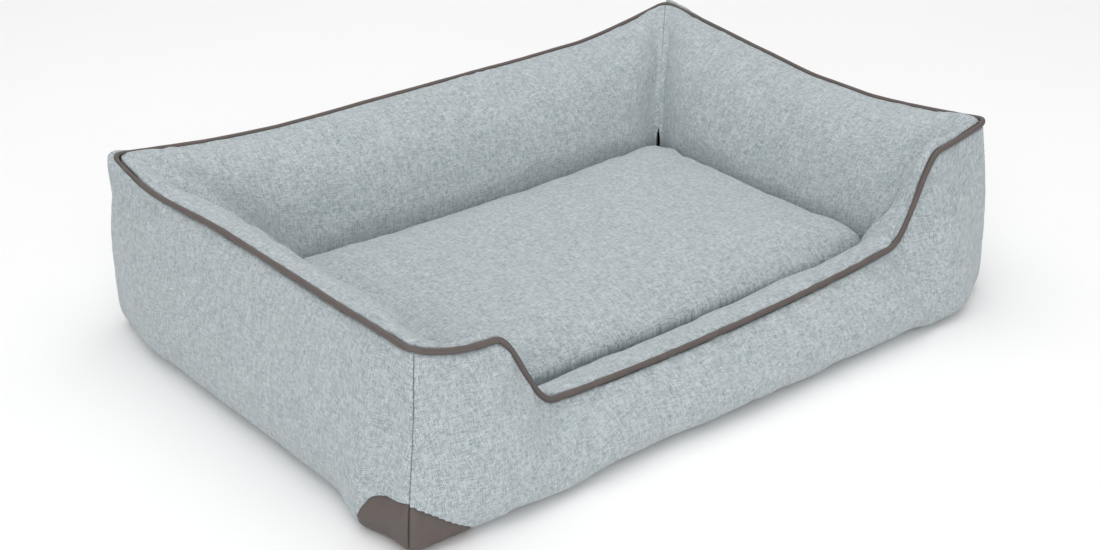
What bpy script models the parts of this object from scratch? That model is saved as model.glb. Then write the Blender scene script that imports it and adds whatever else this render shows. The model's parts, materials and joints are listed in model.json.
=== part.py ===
"""A rectangular pet bed with stuffed walls, a low entrance, a piped rim and a loose cushion.

Metres, +Z up. The origin lies on the floor under the middle of the bed, +X runs along the long
side and -Y points to the entrance. Every wall is drawn from one section, (inward, height), that
is carried along the rim line from corner to corner; the corners are mitred.
"""

import math

import bmesh
import bpy
from mathutils import Matrix

# ---- The rim: the line that the piping follows -------------------------------------------------
RIM_LENGTH = 0.830
RIM_WIDTH = 0.558
RIM_CORNER_RADIUS = 0.016
EAR_HEIGHT = 0.215
WALL_HEIGHT = 0.194
EAR_LENGTH = 0.130
ENTRANCE_HEIGHT = 0.080
ENTRANCE_HALF_WIDTH = 0.240
ENTRANCE_SLOPE_LENGTH = 0.095

# ---- The wall's section ------------------------------------------------------------------------
OUTER_BULGE = 0.031
CORNER_BULGE = 0.007
CORNER_EASE = 0.090
BOTTOM_EDGE_RADIUS = 0.036
CREST_RISE = 0.004
CREST_INSET = 0.022
BOLSTER_DEPTH = 0.108
FRONT_BOLSTER_DEPTH = 0.062
FRONT_DEPTH_EASE = 0.100
MITRE_REACH = 0.200
BOLSTER_TUCK = 0.014
BULGE_HEIGHT_SHARE = 0.36
INNER_FULLNESS = 1.6

# ---- Cloth, leather and clearances -------------------------------------------------------------
CLOTH = 0.0012
LEATHER = 0.0012
GAP = 0.0003
BASE_CLEARANCE = 0.0009
PATCH_GAP = 0.0005
MITRE_GAP = 0.0004
PIPING_RADIUS = 0.0035
SEAM_DEPTH = 0.013

# ---- Floor of the nest -------------------------------------------------------------------------
FLOOR_PAD_THICKNESS = 0.010
FLOOR_CLEARANCE = 0.0006

# ---- Corner patches ----------------------------------------------------------------------------
PATCH_WIDTH = 0.068
PATCH_HEIGHT = 0.058
PATCH_LOW_EDGE = 0.005

# ---- Loose cushion -----------------------------------------------------------------------------
CUSHION_CLEARANCE = 0.008
CUSHION_CORNER_RADIUS = 0.058
CUSHION_SEAM_HEIGHT = 0.045
CUSHION_SIDE_HALF_HEIGHT = 0.015
CUSHION_CROWN = 0.040
CUSHION_SIDE_LINING = 0.0042

# ---- Zip on the cushion's rear edge ------------------------------------------------------------
ZIP_HALF_LENGTH = 0.200
ZIP_TAPE_WIDTH = 0.012
ZIP_TAPE_THICKNESS = 0.0008
COIL_WIDTH = 0.0028
COIL_DEPTH = 0.0020
STOP_LENGTH = 0.004
ZIP_END_MARGIN = 0.010
SLIDER_LENGTH = 0.012
SLIDER_HALF_WIDTH = 0.0046
SLIDER_WALL = 0.0012
PULL_LENGTH = 0.020
PULL_WIDTH = 0.007
PULL_THICKNESS = 0.0012
POST_RADIUS = 0.0011
POST_HEAD_RADIUS = 0.0021
POST_CLEARANCE = 0.0004

# ---- How finely curves are divided -------------------------------------------------------------
OUTER_POINTS = 4
INNER_POINTS = 5
PIPING_POINTS = 6
CORD_SIDES = 6
CORNER_POINTS = 4

HALF_LENGTH = RIM_LENGTH / 2
HALF_WIDTH = RIM_WIDTH / 2
FLOOR_TOP = CLOTH + GAP + FLOOR_PAD_THICKNESS + GAP + CLOTH
CUSHION_BASE = FLOOR_TOP + GAP

# Each wall: half its rim length, half the rim's other side, and the plan direction of its outer
# face. A point (along, out) of a wall is turned into plan by these two.
WALLS = {
    "front": (HALF_LENGTH, HALF_WIDTH, (1, 0), (0, -1)),
    "right": (HALF_WIDTH, HALF_LENGTH, (0, 1), (1, 0)),
    "back": (HALF_LENGTH, HALF_WIDTH, (-1, 0), (0, 1)),
    "left": (HALF_WIDTH, HALF_LENGTH, (0, -1), (-1, 0)),
}

# Colour, roughness and metallic value of each material.
MATERIALS = {
    "cover_fabric": ((0.47, 0.53, 0.56), 0.95, 0.0),
    "base_fabric": ((0.05, 0.05, 0.055), 0.9, 0.0),
    "leather": ((0.13, 0.10, 0.09), 0.6, 0.0),
    "filling": ((0.86, 0.86, 0.84), 1.0, 0.0),
    "foam": ((0.75, 0.74, 0.66), 1.0, 0.0),
    "zip_tape": ((0.22, 0.25, 0.27), 0.9, 0.0),
    "zip_coil": ((0.12, 0.13, 0.14), 0.5, 0.0),
    "zip_metal": ((0.45, 0.45, 0.46), 0.3, 1.0),
}


# ---- Scene and mesh helpers --------------------------------------------------------------------
def clear_scene():
    """Remove every object of the startup scene."""
    for obj in list(bpy.data.objects):
        bpy.data.objects.remove(obj, do_unlink=True)


def make_material(name):
    """Return a Principled material from the table above."""
    colour, roughness, metallic = MATERIALS[name]
    material = bpy.data.materials.new(name)
    material.use_nodes = True
    shader = material.node_tree.nodes["Principled BSDF"]
    shader.inputs["Base Color"].default_value = (*colour, 1)
    shader.inputs["Roughness"].default_value = roughness
    shader.inputs["Metallic"].default_value = metallic
    return material


def add_object(name, points, faces, material, origin=(0, 0, 0)):
    """Make a closed mesh object, with its faces turned out, and its origin at the given point."""
    mesh = bpy.data.meshes.new(name)
    local = [tuple(p[i] - origin[i] for i in range(3)) for p in points]
    mesh.from_pydata(local, [], faces)
    work = bmesh.new()
    work.from_mesh(mesh)
    bmesh.ops.recalc_face_normals(work, faces=work.faces)
    work.to_mesh(mesh)
    work.free()
    obj = bpy.data.objects.new(name, mesh)
    obj.location = origin
    obj.data.materials.append(material)
    bpy.context.scene.collection.objects.link(obj)
    return obj


def smooth_round(obj, angle=50):
    """Shade an object smooth, except across sharp edges."""
    obj.data.shade_smooth()
    obj.data.set_sharp_from_angle(angle=math.radians(angle))


def grid_faces(rows, columns, first=0, close_rows=False, close_columns=False):
    """Triangles of a grid whose point (row, column) is first + row * columns + column."""
    faces = []
    for row in range(rows if close_rows else rows - 1):
        for column in range(columns if close_columns else columns - 1):
            next_row = (row + 1) % rows
            next_column = (column + 1) % columns
            a = first + row * columns + column
            b = first + next_row * columns + column
            c = first + next_row * columns + next_column
            d = first + row * columns + next_column
            faces += [(a, b, c), (a, c, d)]
    return faces


def add_ribbon(name, outer, inner, material):
    """A sheet of cloth or leather: outer and inner are grids of points, one row per station."""
    rows = len(outer)
    columns = len(outer[0])
    points = [p for row in outer for p in row] + [p for row in inner for p in row]
    shift = rows * columns
    faces = grid_faces(rows, columns) + grid_faces(rows, columns, shift)
    edge = [(row, 0) for row in range(rows)]
    edge += [(rows - 1, column) for column in range(1, columns)]
    edge += [(row, columns - 1) for row in range(rows - 2, -1, -1)]
    edge += [(0, column) for column in range(columns - 2, 0, -1)]
    for here, there in zip(edge, edge[1:] + edge[:1]):
        a = here[0] * columns + here[1]
        b = there[0] * columns + there[1]
        faces.append((a, b, b + shift, a + shift))
    obj = add_object(name, points, faces, material)
    smooth_round(obj)
    return obj


def add_loft(name, loops, material):
    """A solid through closed loops of points, with flat ends."""
    rows = len(loops)
    columns = len(loops[0])
    points = [p for loop in loops for p in loop]
    faces = grid_faces(rows, columns, close_columns=True)
    faces.append(tuple(range(columns)))
    faces.append(tuple((rows - 1) * columns + column for column in range(columns)))
    obj = add_object(name, points, faces, material)
    smooth_round(obj)
    return obj


def add_ring(name, loops, material):
    """A solid ring through closed loops, the last of which joins the first."""
    points = [p for loop in loops for p in loop]
    faces = grid_faces(len(loops), len(loops[0]), close_rows=True, close_columns=True)
    obj = add_object(name, points, faces, material)
    smooth_round(obj)
    return obj


def add_prism(name, outline, low, high, material):
    """A flat sheet with the given plan outline."""
    count = len(outline)
    points = [(x, y, low) for x, y in outline] + [(x, y, high) for x, y in outline]
    faces = [tuple(range(count)), tuple(range(count, 2 * count))]
    for here in range(count):
        there = (here + 1) % count
        faces.append((here, there, there + count, here + count))
    return add_object(name, points, faces, material)


def add_box(name, low, high, material):
    """A plain block between two corners."""
    (x0, y0, z0), (x1, y1, z1) = low, high
    return add_prism(name, [(x0, y0), (x1, y0), (x1, y1), (x0, y1)], z0, z1, material)


def hide_tool(obj):
    """Keep an object as a Boolean tool only."""
    obj.hide_render = True
    obj.display_type = "WIRE"
    return obj


def shape_with(target, tool, operation):
    """Cut a tool from a piece, or weld it on."""
    boolean = target.modifiers.new(operation.lower(), "BOOLEAN")
    boolean.operation = operation
    boolean.solver = "EXACT"
    boolean.object = hide_tool(tool)


# ---- The rim line ------------------------------------------------------------------------------
def ease(value):
    """Smooth step from 0 to 1."""
    value = min(max(value, 0), 1)
    return value * value * (3 - 2 * value)


def entrance_share(wall, along):
    """How far a point of the rim belongs to the low entrance: 1 in it, 0 outside its slopes."""
    if wall != "front":
        return 0
    return 1 - ease((abs(along) - ENTRANCE_HALF_WIDTH) / ENTRANCE_SLOPE_LENGTH)


def rim_height(wall, along):
    """Height of the piping at a distance along a wall from its middle."""
    from_corner = WALLS[wall][0] - abs(along)
    ear = (1 - min(from_corner / EAR_LENGTH, 1)) ** 2
    high = WALL_HEIGHT + (EAR_HEIGHT - WALL_HEIGHT) * ear
    return high + (ENTRANCE_HEIGHT - high) * entrance_share(wall, along)


def wall_stations(wall):
    """Stations of the rim along a wall, as (along, inward), from one mitre to the other."""
    half = WALLS[wall][0]
    stations = []
    for degrees in (45, 22.5, 0):
        turn = math.radians(degrees)
        along = half - RIM_CORNER_RADIUS * (1 - math.sin(turn))
        stations.append((along, RIM_CORNER_RADIUS * (1 - math.cos(turn))))
    spots = [half - PATCH_WIDTH * share for share in (0.5, 1)]
    if wall == "front":
        low = ENTRANCE_HALF_WIDTH
        spots += [low + ENTRANCE_SLOPE_LENGTH * step / 6 for step in range(6, -1, -1)]
        spots.append(low / 2)
    else:
        spots += [(half - PATCH_WIDTH) * share for share in (0.7, 0.25)]
    stations += [(spot, 0) for spot in spots]
    return [(-along, inward) for along, inward in stations] + stations[::-1]


def place(wall, station, depth, height, short=0):
    """Point of a wall at a station: depth is measured inward from the rim, and short cuts
    the wall's ends back. Sections stand square to the wall, and turn to the mitre at its ends."""
    half, out, along_axis, out_axis = WALLS[wall]
    along, inward = station
    mitre = half - RIM_CORNER_RADIUS * (1 - math.sin(math.pi / 4))
    skew = max(0, 1 - (mitre - abs(along)) / MITRE_REACH)
    distance = min(abs(along), mitre - short) - depth * skew
    along = math.copysign(distance, along)
    away = out - inward - depth
    x = along * along_axis[0] + away * out_axis[0]
    y = along * along_axis[1] + away * out_axis[1]
    return (x, y, height)


# ---- The wall's section, as (inward, height) points --------------------------------------------
def bulge_at(wall, along):
    """How far the outer face swells: fully along the wall, little at the corners."""
    from_corner = WALLS[wall][0] - abs(along)
    full = 1 - (1 - min(from_corner / CORNER_EASE, 1)) ** 2
    return CORNER_BULGE + (OUTER_BULGE - CORNER_BULGE) * full


def outer_curve(wall, along, height, top_cut):
    """Outer face from the base seam to the piping."""
    bulge = bulge_at(wall, along)
    low = min(BOTTOM_EDGE_RADIUS, height * 0.45)
    curve = [(CLOTH, 0.0004)]
    for step in range(1, 4):
        angle = math.radians(30 * step)
        curve.append((-bulge * math.sin(angle), 0.0004 + low * (1 - math.cos(angle))))
    top = height - top_cut
    for step in range(1, OUTER_POINTS):
        rise = step / (OUTER_POINTS - 1)
        inward = -bulge * math.cos(math.pi / 2 * rise**1.25)
        curve.append((inward, low + (top - low) * rise))
    return curve


def inner_depth(wall, along):
    """How far the bolster reaches inward: the front wall is slimmer between its corners."""
    if wall != "front":
        return BOLSTER_DEPTH
    slim = ease((HALF_LENGTH - abs(along)) / FRONT_DEPTH_EASE)
    return BOLSTER_DEPTH + (FRONT_BOLSTER_DEPTH - BOLSTER_DEPTH) * slim


def inner_curve(wall, along, height):
    """Inner face from the piping over the crest and down to the base."""
    depth = inner_depth(wall, along)
    crest = height + CREST_RISE
    widest = BULGE_HEIGHT_SHARE * height
    curve = [(PIPING_RADIUS + GAP, height + 0.0005)]
    for step in range(INNER_POINTS):
        angle = math.pi / 2 * step / (INNER_POINTS - 1)
        inward = CREST_INSET + (depth - CREST_INSET) * math.sin(angle) ** (2 / INNER_FULLNESS)
        drop = (crest - widest) * (1 - math.cos(angle) ** (2 / INNER_FULLNESS))
        curve.append((inward, crest - drop))
    curve.append((depth - BOLSTER_TUCK * 0.35, widest * 0.4))
    curve.append((depth - BOLSTER_TUCK, CLOTH + GAP))
    return curve


def inset_curve(curve, distance):
    """Move an open section curve into the wall, square to itself."""
    moved = []
    for index, (inward, height) in enumerate(curve):
        before = curve[max(index - 1, 0)]
        after = curve[min(index + 1, len(curve) - 1)]
        step_in = after[0] - before[0]
        step_up = after[1] - before[1]
        size = math.hypot(step_in, step_up)
        moved.append((inward + distance * step_up / size, height - distance * step_in / size))
    return moved


def slope_factor(wall, along):
    """Vertical over square distance at the piping, which grows where the rim is steep."""
    rise = rim_height(wall, along + 0.001) - rim_height(wall, along - 0.001)
    return math.hypot(1, rise / 0.002)


def section(wall, station):
    """Outer and inner curves of a wall at a station."""
    along = station[0]
    height = rim_height(wall, along)
    top_cut = (PIPING_RADIUS + 2 * GAP) * slope_factor(wall, along)
    return outer_curve(wall, along, height, top_cut), inner_curve(wall, along, height)


def carry(wall, station, curve):
    """Place a section curve at its station, just short of the mitre."""
    return [place(wall, station, depth, height, MITRE_GAP) for depth, height in curve]


# ---- Shell -------------------------------------------------------------------------------------
def add_wall(wall, cloth, filling):
    """Outer panel, inner panel and filling of one wall."""
    outer_rows, outer_backs, inner_rows, inner_backs, loops = [], [], [], [], []
    for station in wall_stations(wall):
        outer, inner = section(wall, station)
        outer_rows.append(carry(wall, station, outer))
        outer_backs.append(carry(wall, station, inset_curve(outer, CLOTH)))
        inner_rows.append(carry(wall, station, inner))
        inner_backs.append(carry(wall, station, inset_curve(inner, CLOTH)))
        loops.append(carry(wall, station, filling_loop(wall, station, outer, inner)))
    add_ribbon(f"outer_panel_{wall}", outer_rows, outer_backs, cloth)
    add_ribbon(f"inner_panel_{wall}", inner_rows, inner_backs, cloth)
    add_loft(f"bolster_filling_{wall}", loops, filling)


def filling_loop(wall, station, outer, inner):
    """Closed section of the filling, inside both panels and below the piping's seam."""
    core_outer = inset_curve(outer, CLOTH + GAP)
    core_inner = inset_curve(inner, CLOTH + GAP)
    seam = rim_height(wall, station[0]) - SEAM_DEPTH * slope_factor(wall, station[0])
    top = (CLOTH + 2 * GAP, seam)
    foot = (core_inner[-1][0] - CLOTH, core_outer[0][1])
    return core_outer[:-1] + [top] + core_inner[1:] + [foot]


def base_outline(inset):
    """Plan outline of the bed's flat underside."""
    outline = []
    for wall in WALLS:
        for station in wall_stations(wall)[:-1]:
            x, y, _ = place(wall, station, inset, 0)
            outline.append((x, y))
    return outline


def floor_outline():
    """Plan outline of the floor cloth: clear of the bolsters where they bulge over it."""
    outline = []
    for wall in WALLS:
        for station in wall_stations(wall)[:-1]:
            inner = section(wall, station)[1]
            x, y, _ = place(wall, station, inner[-2][0] + FLOOR_CLEARANCE, 0)
            outline.append((x, y))
    return outline


def add_floor(materials):
    """Underside sheet, foam board and floor cloth."""
    add_prism("base_panel", base_outline(CLOTH + BASE_CLEARANCE), 0, CLOTH, materials["base_fabric"])
    low = CLOTH + GAP
    high = low + FLOOR_PAD_THICKNESS
    add_prism("floor_pad", floor_outline(), low, high, materials["foam"])
    low = high + GAP
    add_prism("floor_panel", floor_outline(), low, low + CLOTH, materials["cover_fabric"])


# ---- Piping ------------------------------------------------------------------------------------
def rim_frames():
    """Centre, outward and upward directions of the piping, once round the rim."""
    centres = []
    for wall in WALLS:
        for station in wall_stations(wall)[:-1]:
            centres.append(place(wall, station, 0, rim_height(wall, station[0])))
    frames = []
    for index, centre in enumerate(centres):
        before = centres[index - 1]
        after = centres[(index + 1) % len(centres)]
        step = [after[axis] - before[axis] for axis in range(3)]
        level = math.hypot(step[0], step[1])
        size = math.hypot(level, step[2])
        out = (step[1] / level, -step[0] / level, 0)
        up = (-step[0] * step[2] / level / size, -step[1] * step[2] / level / size, level / size)
        frames.append((centre, out, up))
    return frames


def sweep(profile):
    """Carry a closed profile of (outward, up) points round the rim."""
    loops = []
    for centre, out, up in rim_frames():
        loops.append([
            tuple(centre[axis] + a * out[axis] + b * up[axis] for axis in range(3))
            for a, b in profile
        ])
    return loops


def piping_cover_profile():
    """A strip folded round the cord: open underneath, where its two edges meet the seam."""
    inner_radius = PIPING_RADIUS - LEATHER * 0.75
    outside, inside = [], []
    for step in range(PIPING_POINTS):
        angle = math.radians(-70 + 320 * step / (PIPING_POINTS - 1))
        outside.append((PIPING_RADIUS * math.cos(angle), PIPING_RADIUS * math.sin(angle)))
        inside.append((inner_radius * math.cos(angle), inner_radius * math.sin(angle)))
    return outside + inside[::-1]


def piping_cord_profile():
    """Round cord inside the cover."""
    radius = (PIPING_RADIUS - LEATHER * 0.75) * math.cos(math.radians(32)) - GAP
    return [
        (radius * math.cos(2 * math.pi * step / CORD_SIDES),
         radius * math.sin(2 * math.pi * step / CORD_SIDES))
        for step in range(CORD_SIDES)
    ]


def add_piping(materials):
    """The leather cover and the cord inside it, each one loop."""
    add_ring("rim_piping_cover", sweep(piping_cover_profile()), materials["leather"])
    add_ring("rim_piping_cord", sweep(piping_cord_profile()), materials["filling"])


# ---- Corner patches ----------------------------------------------------------------------------
def patch_cutter(name, wall, side, material):
    """Everything above a patch's arched top edge, as a block that reaches through the wall."""
    half, out, along_axis, out_axis = WALLS[wall]
    outline = []
    for step in range(7):
        share = step / 6
        height = PATCH_LOW_EDGE + (PATCH_HEIGHT - PATCH_LOW_EDGE) * (1 - share**1.7)
        outline.append((half - PATCH_WIDTH * share, height))
    reach = 2 * OUTER_BULGE
    top = PATCH_HEIGHT + reach
    outline += [(half - PATCH_WIDTH, 0), (half - PATCH_WIDTH - reach, 0)]
    outline += [(half - PATCH_WIDTH - reach, top), (half + reach, top)]
    outline.append((half + reach, PATCH_HEIGHT))
    points = []
    for away in (out - reach, out + reach):
        for along, height in outline:
            x = side * along * along_axis[0] + away * out_axis[0]
            y = side * along * along_axis[1] + away * out_axis[1]
            points.append((x, y, height))
    count = len(outline)
    faces = [tuple(range(count)), tuple(range(count, 2 * count))]
    for here in range(count):
        there = (here + 1) % count
        faces.append((here, there, there + count, here + count))
    return add_object(name, points, faces, material)


def add_patch(name, wall, side, material):
    """Half of a corner patch: a strip over the outer panel, cut to an arch."""
    inner_end = WALLS[wall][0] - PATCH_WIDTH - GAP
    rows, backs = [], []
    for station in wall_stations(wall):
        if station[0] * side < inner_end:
            continue
        outer = section(wall, station)[0]
        face = inset_curve(outer, -PATCH_GAP - LEATHER)[1:5]
        back = inset_curve(outer, -PATCH_GAP)[1:5]
        rows.append(carry(wall, station, face))
        backs.append(carry(wall, station, back))
    patch = add_ribbon(name, rows, backs, material)
    shape_with(patch, patch_cutter(f"{name}_cutter", wall, side, material), "DIFFERENCE")


def add_patches(material):
    """Two halves at each corner, one on either side of the corner seam."""
    corners = {
        "front_left": (("front", -1), ("left", 1)),
        "front_right": (("front", 1), ("right", -1)),
        "back_right": (("right", 1), ("back", -1)),
        "back_left": (("back", 1), ("left", -1)),
    }
    for corner, halves in corners.items():
        for wall, side in halves:
            add_patch(f"corner_patch_{corner}_on_{wall}", wall, side, material)


# ---- Loose cushion -----------------------------------------------------------------------------
CUSHION_HALF_LENGTH = HALF_LENGTH - BOLSTER_DEPTH - CUSHION_CLEARANCE
CUSHION_REAR = HALF_WIDTH - BOLSTER_DEPTH - CUSHION_CLEARANCE
CUSHION_FRONT = -(HALF_WIDTH - FRONT_BOLSTER_DEPTH - CUSHION_CLEARANCE)
CUSHION_CENTRE = (CUSHION_REAR + CUSHION_FRONT) / 2
NOTCH_END = ZIP_HALF_LENGTH + STOP_LENGTH + 2 * GAP
CUSHION_CORNER = min(CUSHION_CORNER_RADIUS, CUSHION_HALF_LENGTH - NOTCH_END - ZIP_END_MARGIN)


def cushion_outline(inset):
    """Plan outline, anticlockwise from the front left corner, with points for the zip's notch."""
    half_x = CUSHION_HALF_LENGTH - inset
    half_y = (CUSHION_REAR - CUSHION_FRONT) / 2 - inset
    radius = CUSHION_CORNER - inset
    straight_x = half_x - radius
    straight_y = half_y - radius
    outline = []
    corners = ((-1, -1, 180), (1, -1, 270), (1, 1, 0), (-1, 1, 90))
    sides = (
        [(share * straight_x, -half_y) for share in (-0.5, 0, 0.5)],
        [(half_x, share * straight_y) for share in (-0.4, 0.4)],
        [(x, half_y) for x in (NOTCH_END + GAP, NOTCH_END, 0, -NOTCH_END, -NOTCH_END - GAP)],
        [(-half_x, share * straight_y) for share in (0.4, -0.4)],
    )
    for (side_x, side_y, start), side in zip(corners, sides):
        for step in range(CORNER_POINTS):
            angle = math.radians(start + 90 * step / (CORNER_POINTS - 1))
            x = side_x * straight_x + radius * math.cos(angle)
            y = side_y * straight_y + radius * math.sin(angle)
            outline.append((x, y))
        outline += side
    return [(x, y + CUSHION_CENTRE) for x, y in outline]


def scaled_ring(outline, share, height):
    """The outline drawn in towards its centre, at one height."""
    return [
        (x * share, CUSHION_CENTRE + (y - CUSHION_CENTRE) * share, height) for x, y in outline
    ]


def seam_ring(outline, direction):
    """Edge of a cover along the side seam: cut back in a notch where the zip lies."""
    ring = []
    for x, y in outline:
        at_zip = abs(x) <= NOTCH_END + GAP / 2 and y > CUSHION_CENTRE
        cut = SLIDER_HALF_WIDTH + 2 * GAP if at_zip else GAP / 2
        ring.append((x, y, CUSHION_SEAM_HEIGHT + direction * cut))
    return ring


def top_rings(inset, lining):
    """Rings from the side's upper edge to the crown."""
    outline = cushion_outline(inset)
    shoulder = CUSHION_SEAM_HEIGHT + CUSHION_SIDE_HALF_HEIGHT
    rings = []
    for share in (1, 0.98, 0.93, 0.82, 0.55):
        rise = (CUSHION_CROWN - lining) * math.sqrt(1 - share**3.2)
        rings.append(scaled_ring(outline, share, shoulder + rise))
    return rings, (0, CUSHION_CENTRE, shoulder + CUSHION_CROWN - lining)


def base_rings(inset, lining):
    """Rings from the side's lower edge to the flat underside."""
    outline = cushion_outline(inset)
    foot = CUSHION_SEAM_HEIGHT - CUSHION_SIDE_HALF_HEIGHT
    drop = foot - CUSHION_BASE - lining
    rings = []
    for share in (1, 0.98, 0.93, 0.8):
        rings.append(scaled_ring(outline, share, foot - drop * math.sqrt(1 - share**24)))
    return rings, (0, CUSHION_CENTRE, rings[-1][0][2])


def skin_faces(rows, columns, first):
    """Faces of rings that run to a centre point, which follows the last ring."""
    faces = grid_faces(rows, columns, first, close_columns=True)
    centre = first + rows * columns
    last = centre - columns
    for here in range(columns):
        faces.append((last + here, last + (here + 1) % columns, centre))
    return faces


def add_cover(name, maker, direction, material):
    """One half of the cushion's cover: a domed sheet with an open edge."""
    points, faces = [], []
    for inset in (0, CLOTH):
        rings, centre = maker(inset, inset)
        rings = [seam_ring(cushion_outline(inset), direction)] + rings
        first = len(points)
        faces += skin_faces(len(rings), len(rings[0]), first)
        points += [p for ring in rings for p in ring] + [centre]
    count = len(rings[0])
    shift = len(points) // 2
    for here in range(count):
        there = (here + 1) % count
        faces.append((here, there, there + shift, here + shift))
    smooth_round(add_object(name, points, faces, material))


def add_cushion(materials):
    """Cover in two halves and the filling inside them."""
    cloth = materials["cover_fabric"]
    add_cover("cushion_cover_top", top_rings, 1, cloth)
    add_cover("cushion_cover_base", base_rings, -1, cloth)
    upper, crown = top_rings(CUSHION_SIDE_LINING, CLOTH + GAP)
    lower, foot = base_rings(CUSHION_SIDE_LINING, CLOTH + GAP)
    rings = lower[::-1] + upper
    columns = len(rings[0])
    points = [p for ring in rings for p in ring] + [crown, foot]
    faces = skin_faces(len(rings), columns, 0)
    for here in range(columns):
        faces.append(((here + 1) % columns, here, len(points) - 1))
    smooth_round(add_object("cushion_filling", points, faces, materials["filling"]))


# ---- Zip ---------------------------------------------------------------------------------------
TAPE_FACE = CUSHION_REAR - CLOTH - GAP
COIL_BACK = TAPE_FACE + GAP
COIL_FACE = COIL_BACK + COIL_DEPTH
PLATE_BACK = COIL_FACE + GAP
PLATE_FACE = PLATE_BACK + SLIDER_WALL
PULL_BACK = PLATE_FACE + POST_CLEARANCE
HEAD_BACK = PULL_BACK + PULL_THICKNESS + POST_CLEARANCE
HEAD_FACE = HEAD_BACK + POST_CLEARANCE * 2
SLIDER_X = -(ZIP_HALF_LENGTH - SLIDER_LENGTH / 2 - GAP)


def add_peg(name, radius, low, high, material, sides=12):
    """A round peg along Y at the slider, between two depths."""
    points = []
    for y in (low, high):
        for step in range(sides):
            angle = 2 * math.pi * step / sides
            x = SLIDER_X + radius * math.cos(angle)
            points.append((x, y, CUSHION_SEAM_HEIGHT + radius * math.sin(angle)))
    faces = [tuple(range(sides)), tuple(range(sides, 2 * sides))]
    for here in range(sides):
        there = (here + 1) % sides
        faces.append((here, there, there + sides, here + sides))
    return add_object(name, points, faces, material)


def add_chain(materials):
    """Two tapes, two coils and an end stop at each end."""
    tape_back = TAPE_FACE - ZIP_TAPE_THICKNESS
    middle = CUSHION_SEAM_HEIGHT
    reach = ZIP_HALF_LENGTH + STOP_LENGTH
    for name, side in (("upper", 1), ("lower", -1)):
        near, far = sorted((middle + side * GAP * 3, middle + side * (GAP * 3 + ZIP_TAPE_WIDTH)))
        low = (-reach, tape_back, near)
        high = (reach, TAPE_FACE, far)
        add_box(f"zip_tape_{name}", low, high, materials["zip_tape"])
        near, far = sorted((middle + side * GAP / 2, middle + side * COIL_WIDTH))
        low = (-ZIP_HALF_LENGTH, COIL_BACK, near)
        high = (ZIP_HALF_LENGTH, COIL_FACE, far)
        add_box(f"zip_coil_{name}", low, high, materials["zip_coil"])
    for name, side in (("closed", -1), ("open", 1)):
        ends = (side * (ZIP_HALF_LENGTH + GAP), side * (ZIP_HALF_LENGTH + STOP_LENGTH))
        low = (min(ends), COIL_BACK, middle - COIL_WIDTH)
        high = (max(ends), COIL_FACE, middle + COIL_WIDTH)
        add_box(f"zip_stop_{name}", low, high, materials["zip_metal"])


def add_slider(material):
    """Saddle over both coils, with a headed post that carries the pull."""
    middle = CUSHION_SEAM_HEIGHT
    half = SLIDER_LENGTH / 2
    wide = SLIDER_HALF_WIDTH
    low = (SLIDER_X - half, PLATE_BACK, middle - wide)
    high = (SLIDER_X + half, PLATE_FACE, middle + wide)
    slider = add_box("zip_slider", low, high, material)
    for name, side in (("upper", 1), ("lower", -1)):
        near, far = sorted((middle + side * (wide - SLIDER_WALL), middle + side * wide))
        low = (SLIDER_X - half, COIL_BACK, near)
        high = (SLIDER_X + half, PLATE_BACK + SLIDER_WALL / 2, far)
        shape_with(slider, add_box(f"slider_flange_{name}", low, high, material), "UNION")
    inside = PLATE_FACE - SLIDER_WALL / 2
    post = add_peg("slider_post", POST_RADIUS, inside, HEAD_FACE - POST_CLEARANCE, material)
    head = add_peg("slider_head", POST_HEAD_RADIUS, HEAD_BACK, HEAD_FACE, material)
    shape_with(slider, post, "UNION")
    shape_with(slider, head, "UNION")
    return slider


def add_pull(material):
    """Flat tab that hangs from the post and swings along the cushion's edge."""
    half = PULL_WIDTH / 2
    outline = []
    for start, height in ((0, 0), (180, half - PULL_LENGTH)):
        for step in range(7):
            angle = math.radians(start + 30 * step)
            x = SLIDER_X + half * math.cos(angle)
            outline.append((x, CUSHION_SEAM_HEIGHT + height + half * math.sin(angle)))
    count = len(outline)
    points = [(x, PULL_BACK, z) for x, z in outline]
    points += [(x, PULL_BACK + PULL_THICKNESS, z) for x, z in outline]
    faces = [tuple(range(count)), tuple(range(count, 2 * count))]
    for here in range(count):
        there = (here + 1) % count
        faces.append((here, there, there + count, here + count))
    axis_point = (SLIDER_X, PULL_BACK, CUSHION_SEAM_HEIGHT)
    pull = add_object("zip_pull", points, faces, material, axis_point)
    reach = PULL_THICKNESS
    hole_radius = POST_RADIUS + POST_CLEARANCE
    hole = add_peg("pull_hole", hole_radius, PULL_BACK - reach, HEAD_BACK + reach, material, 16)
    shape_with(pull, hole, "DIFFERENCE")
    return pull


# ---- Assembly ----------------------------------------------------------------------------------
def parent_to(child, parent):
    """Tie a piece to its carrier without moving it."""
    child.parent = parent
    child.matrix_parent_inverse = Matrix.Translation(parent.location).inverted()


def add_carrier(name, location):
    """An empty that stands for a moving body."""
    empty = bpy.data.objects.new(name, None)
    empty.location = location
    bpy.context.scene.collection.objects.link(empty)
    return empty


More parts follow.
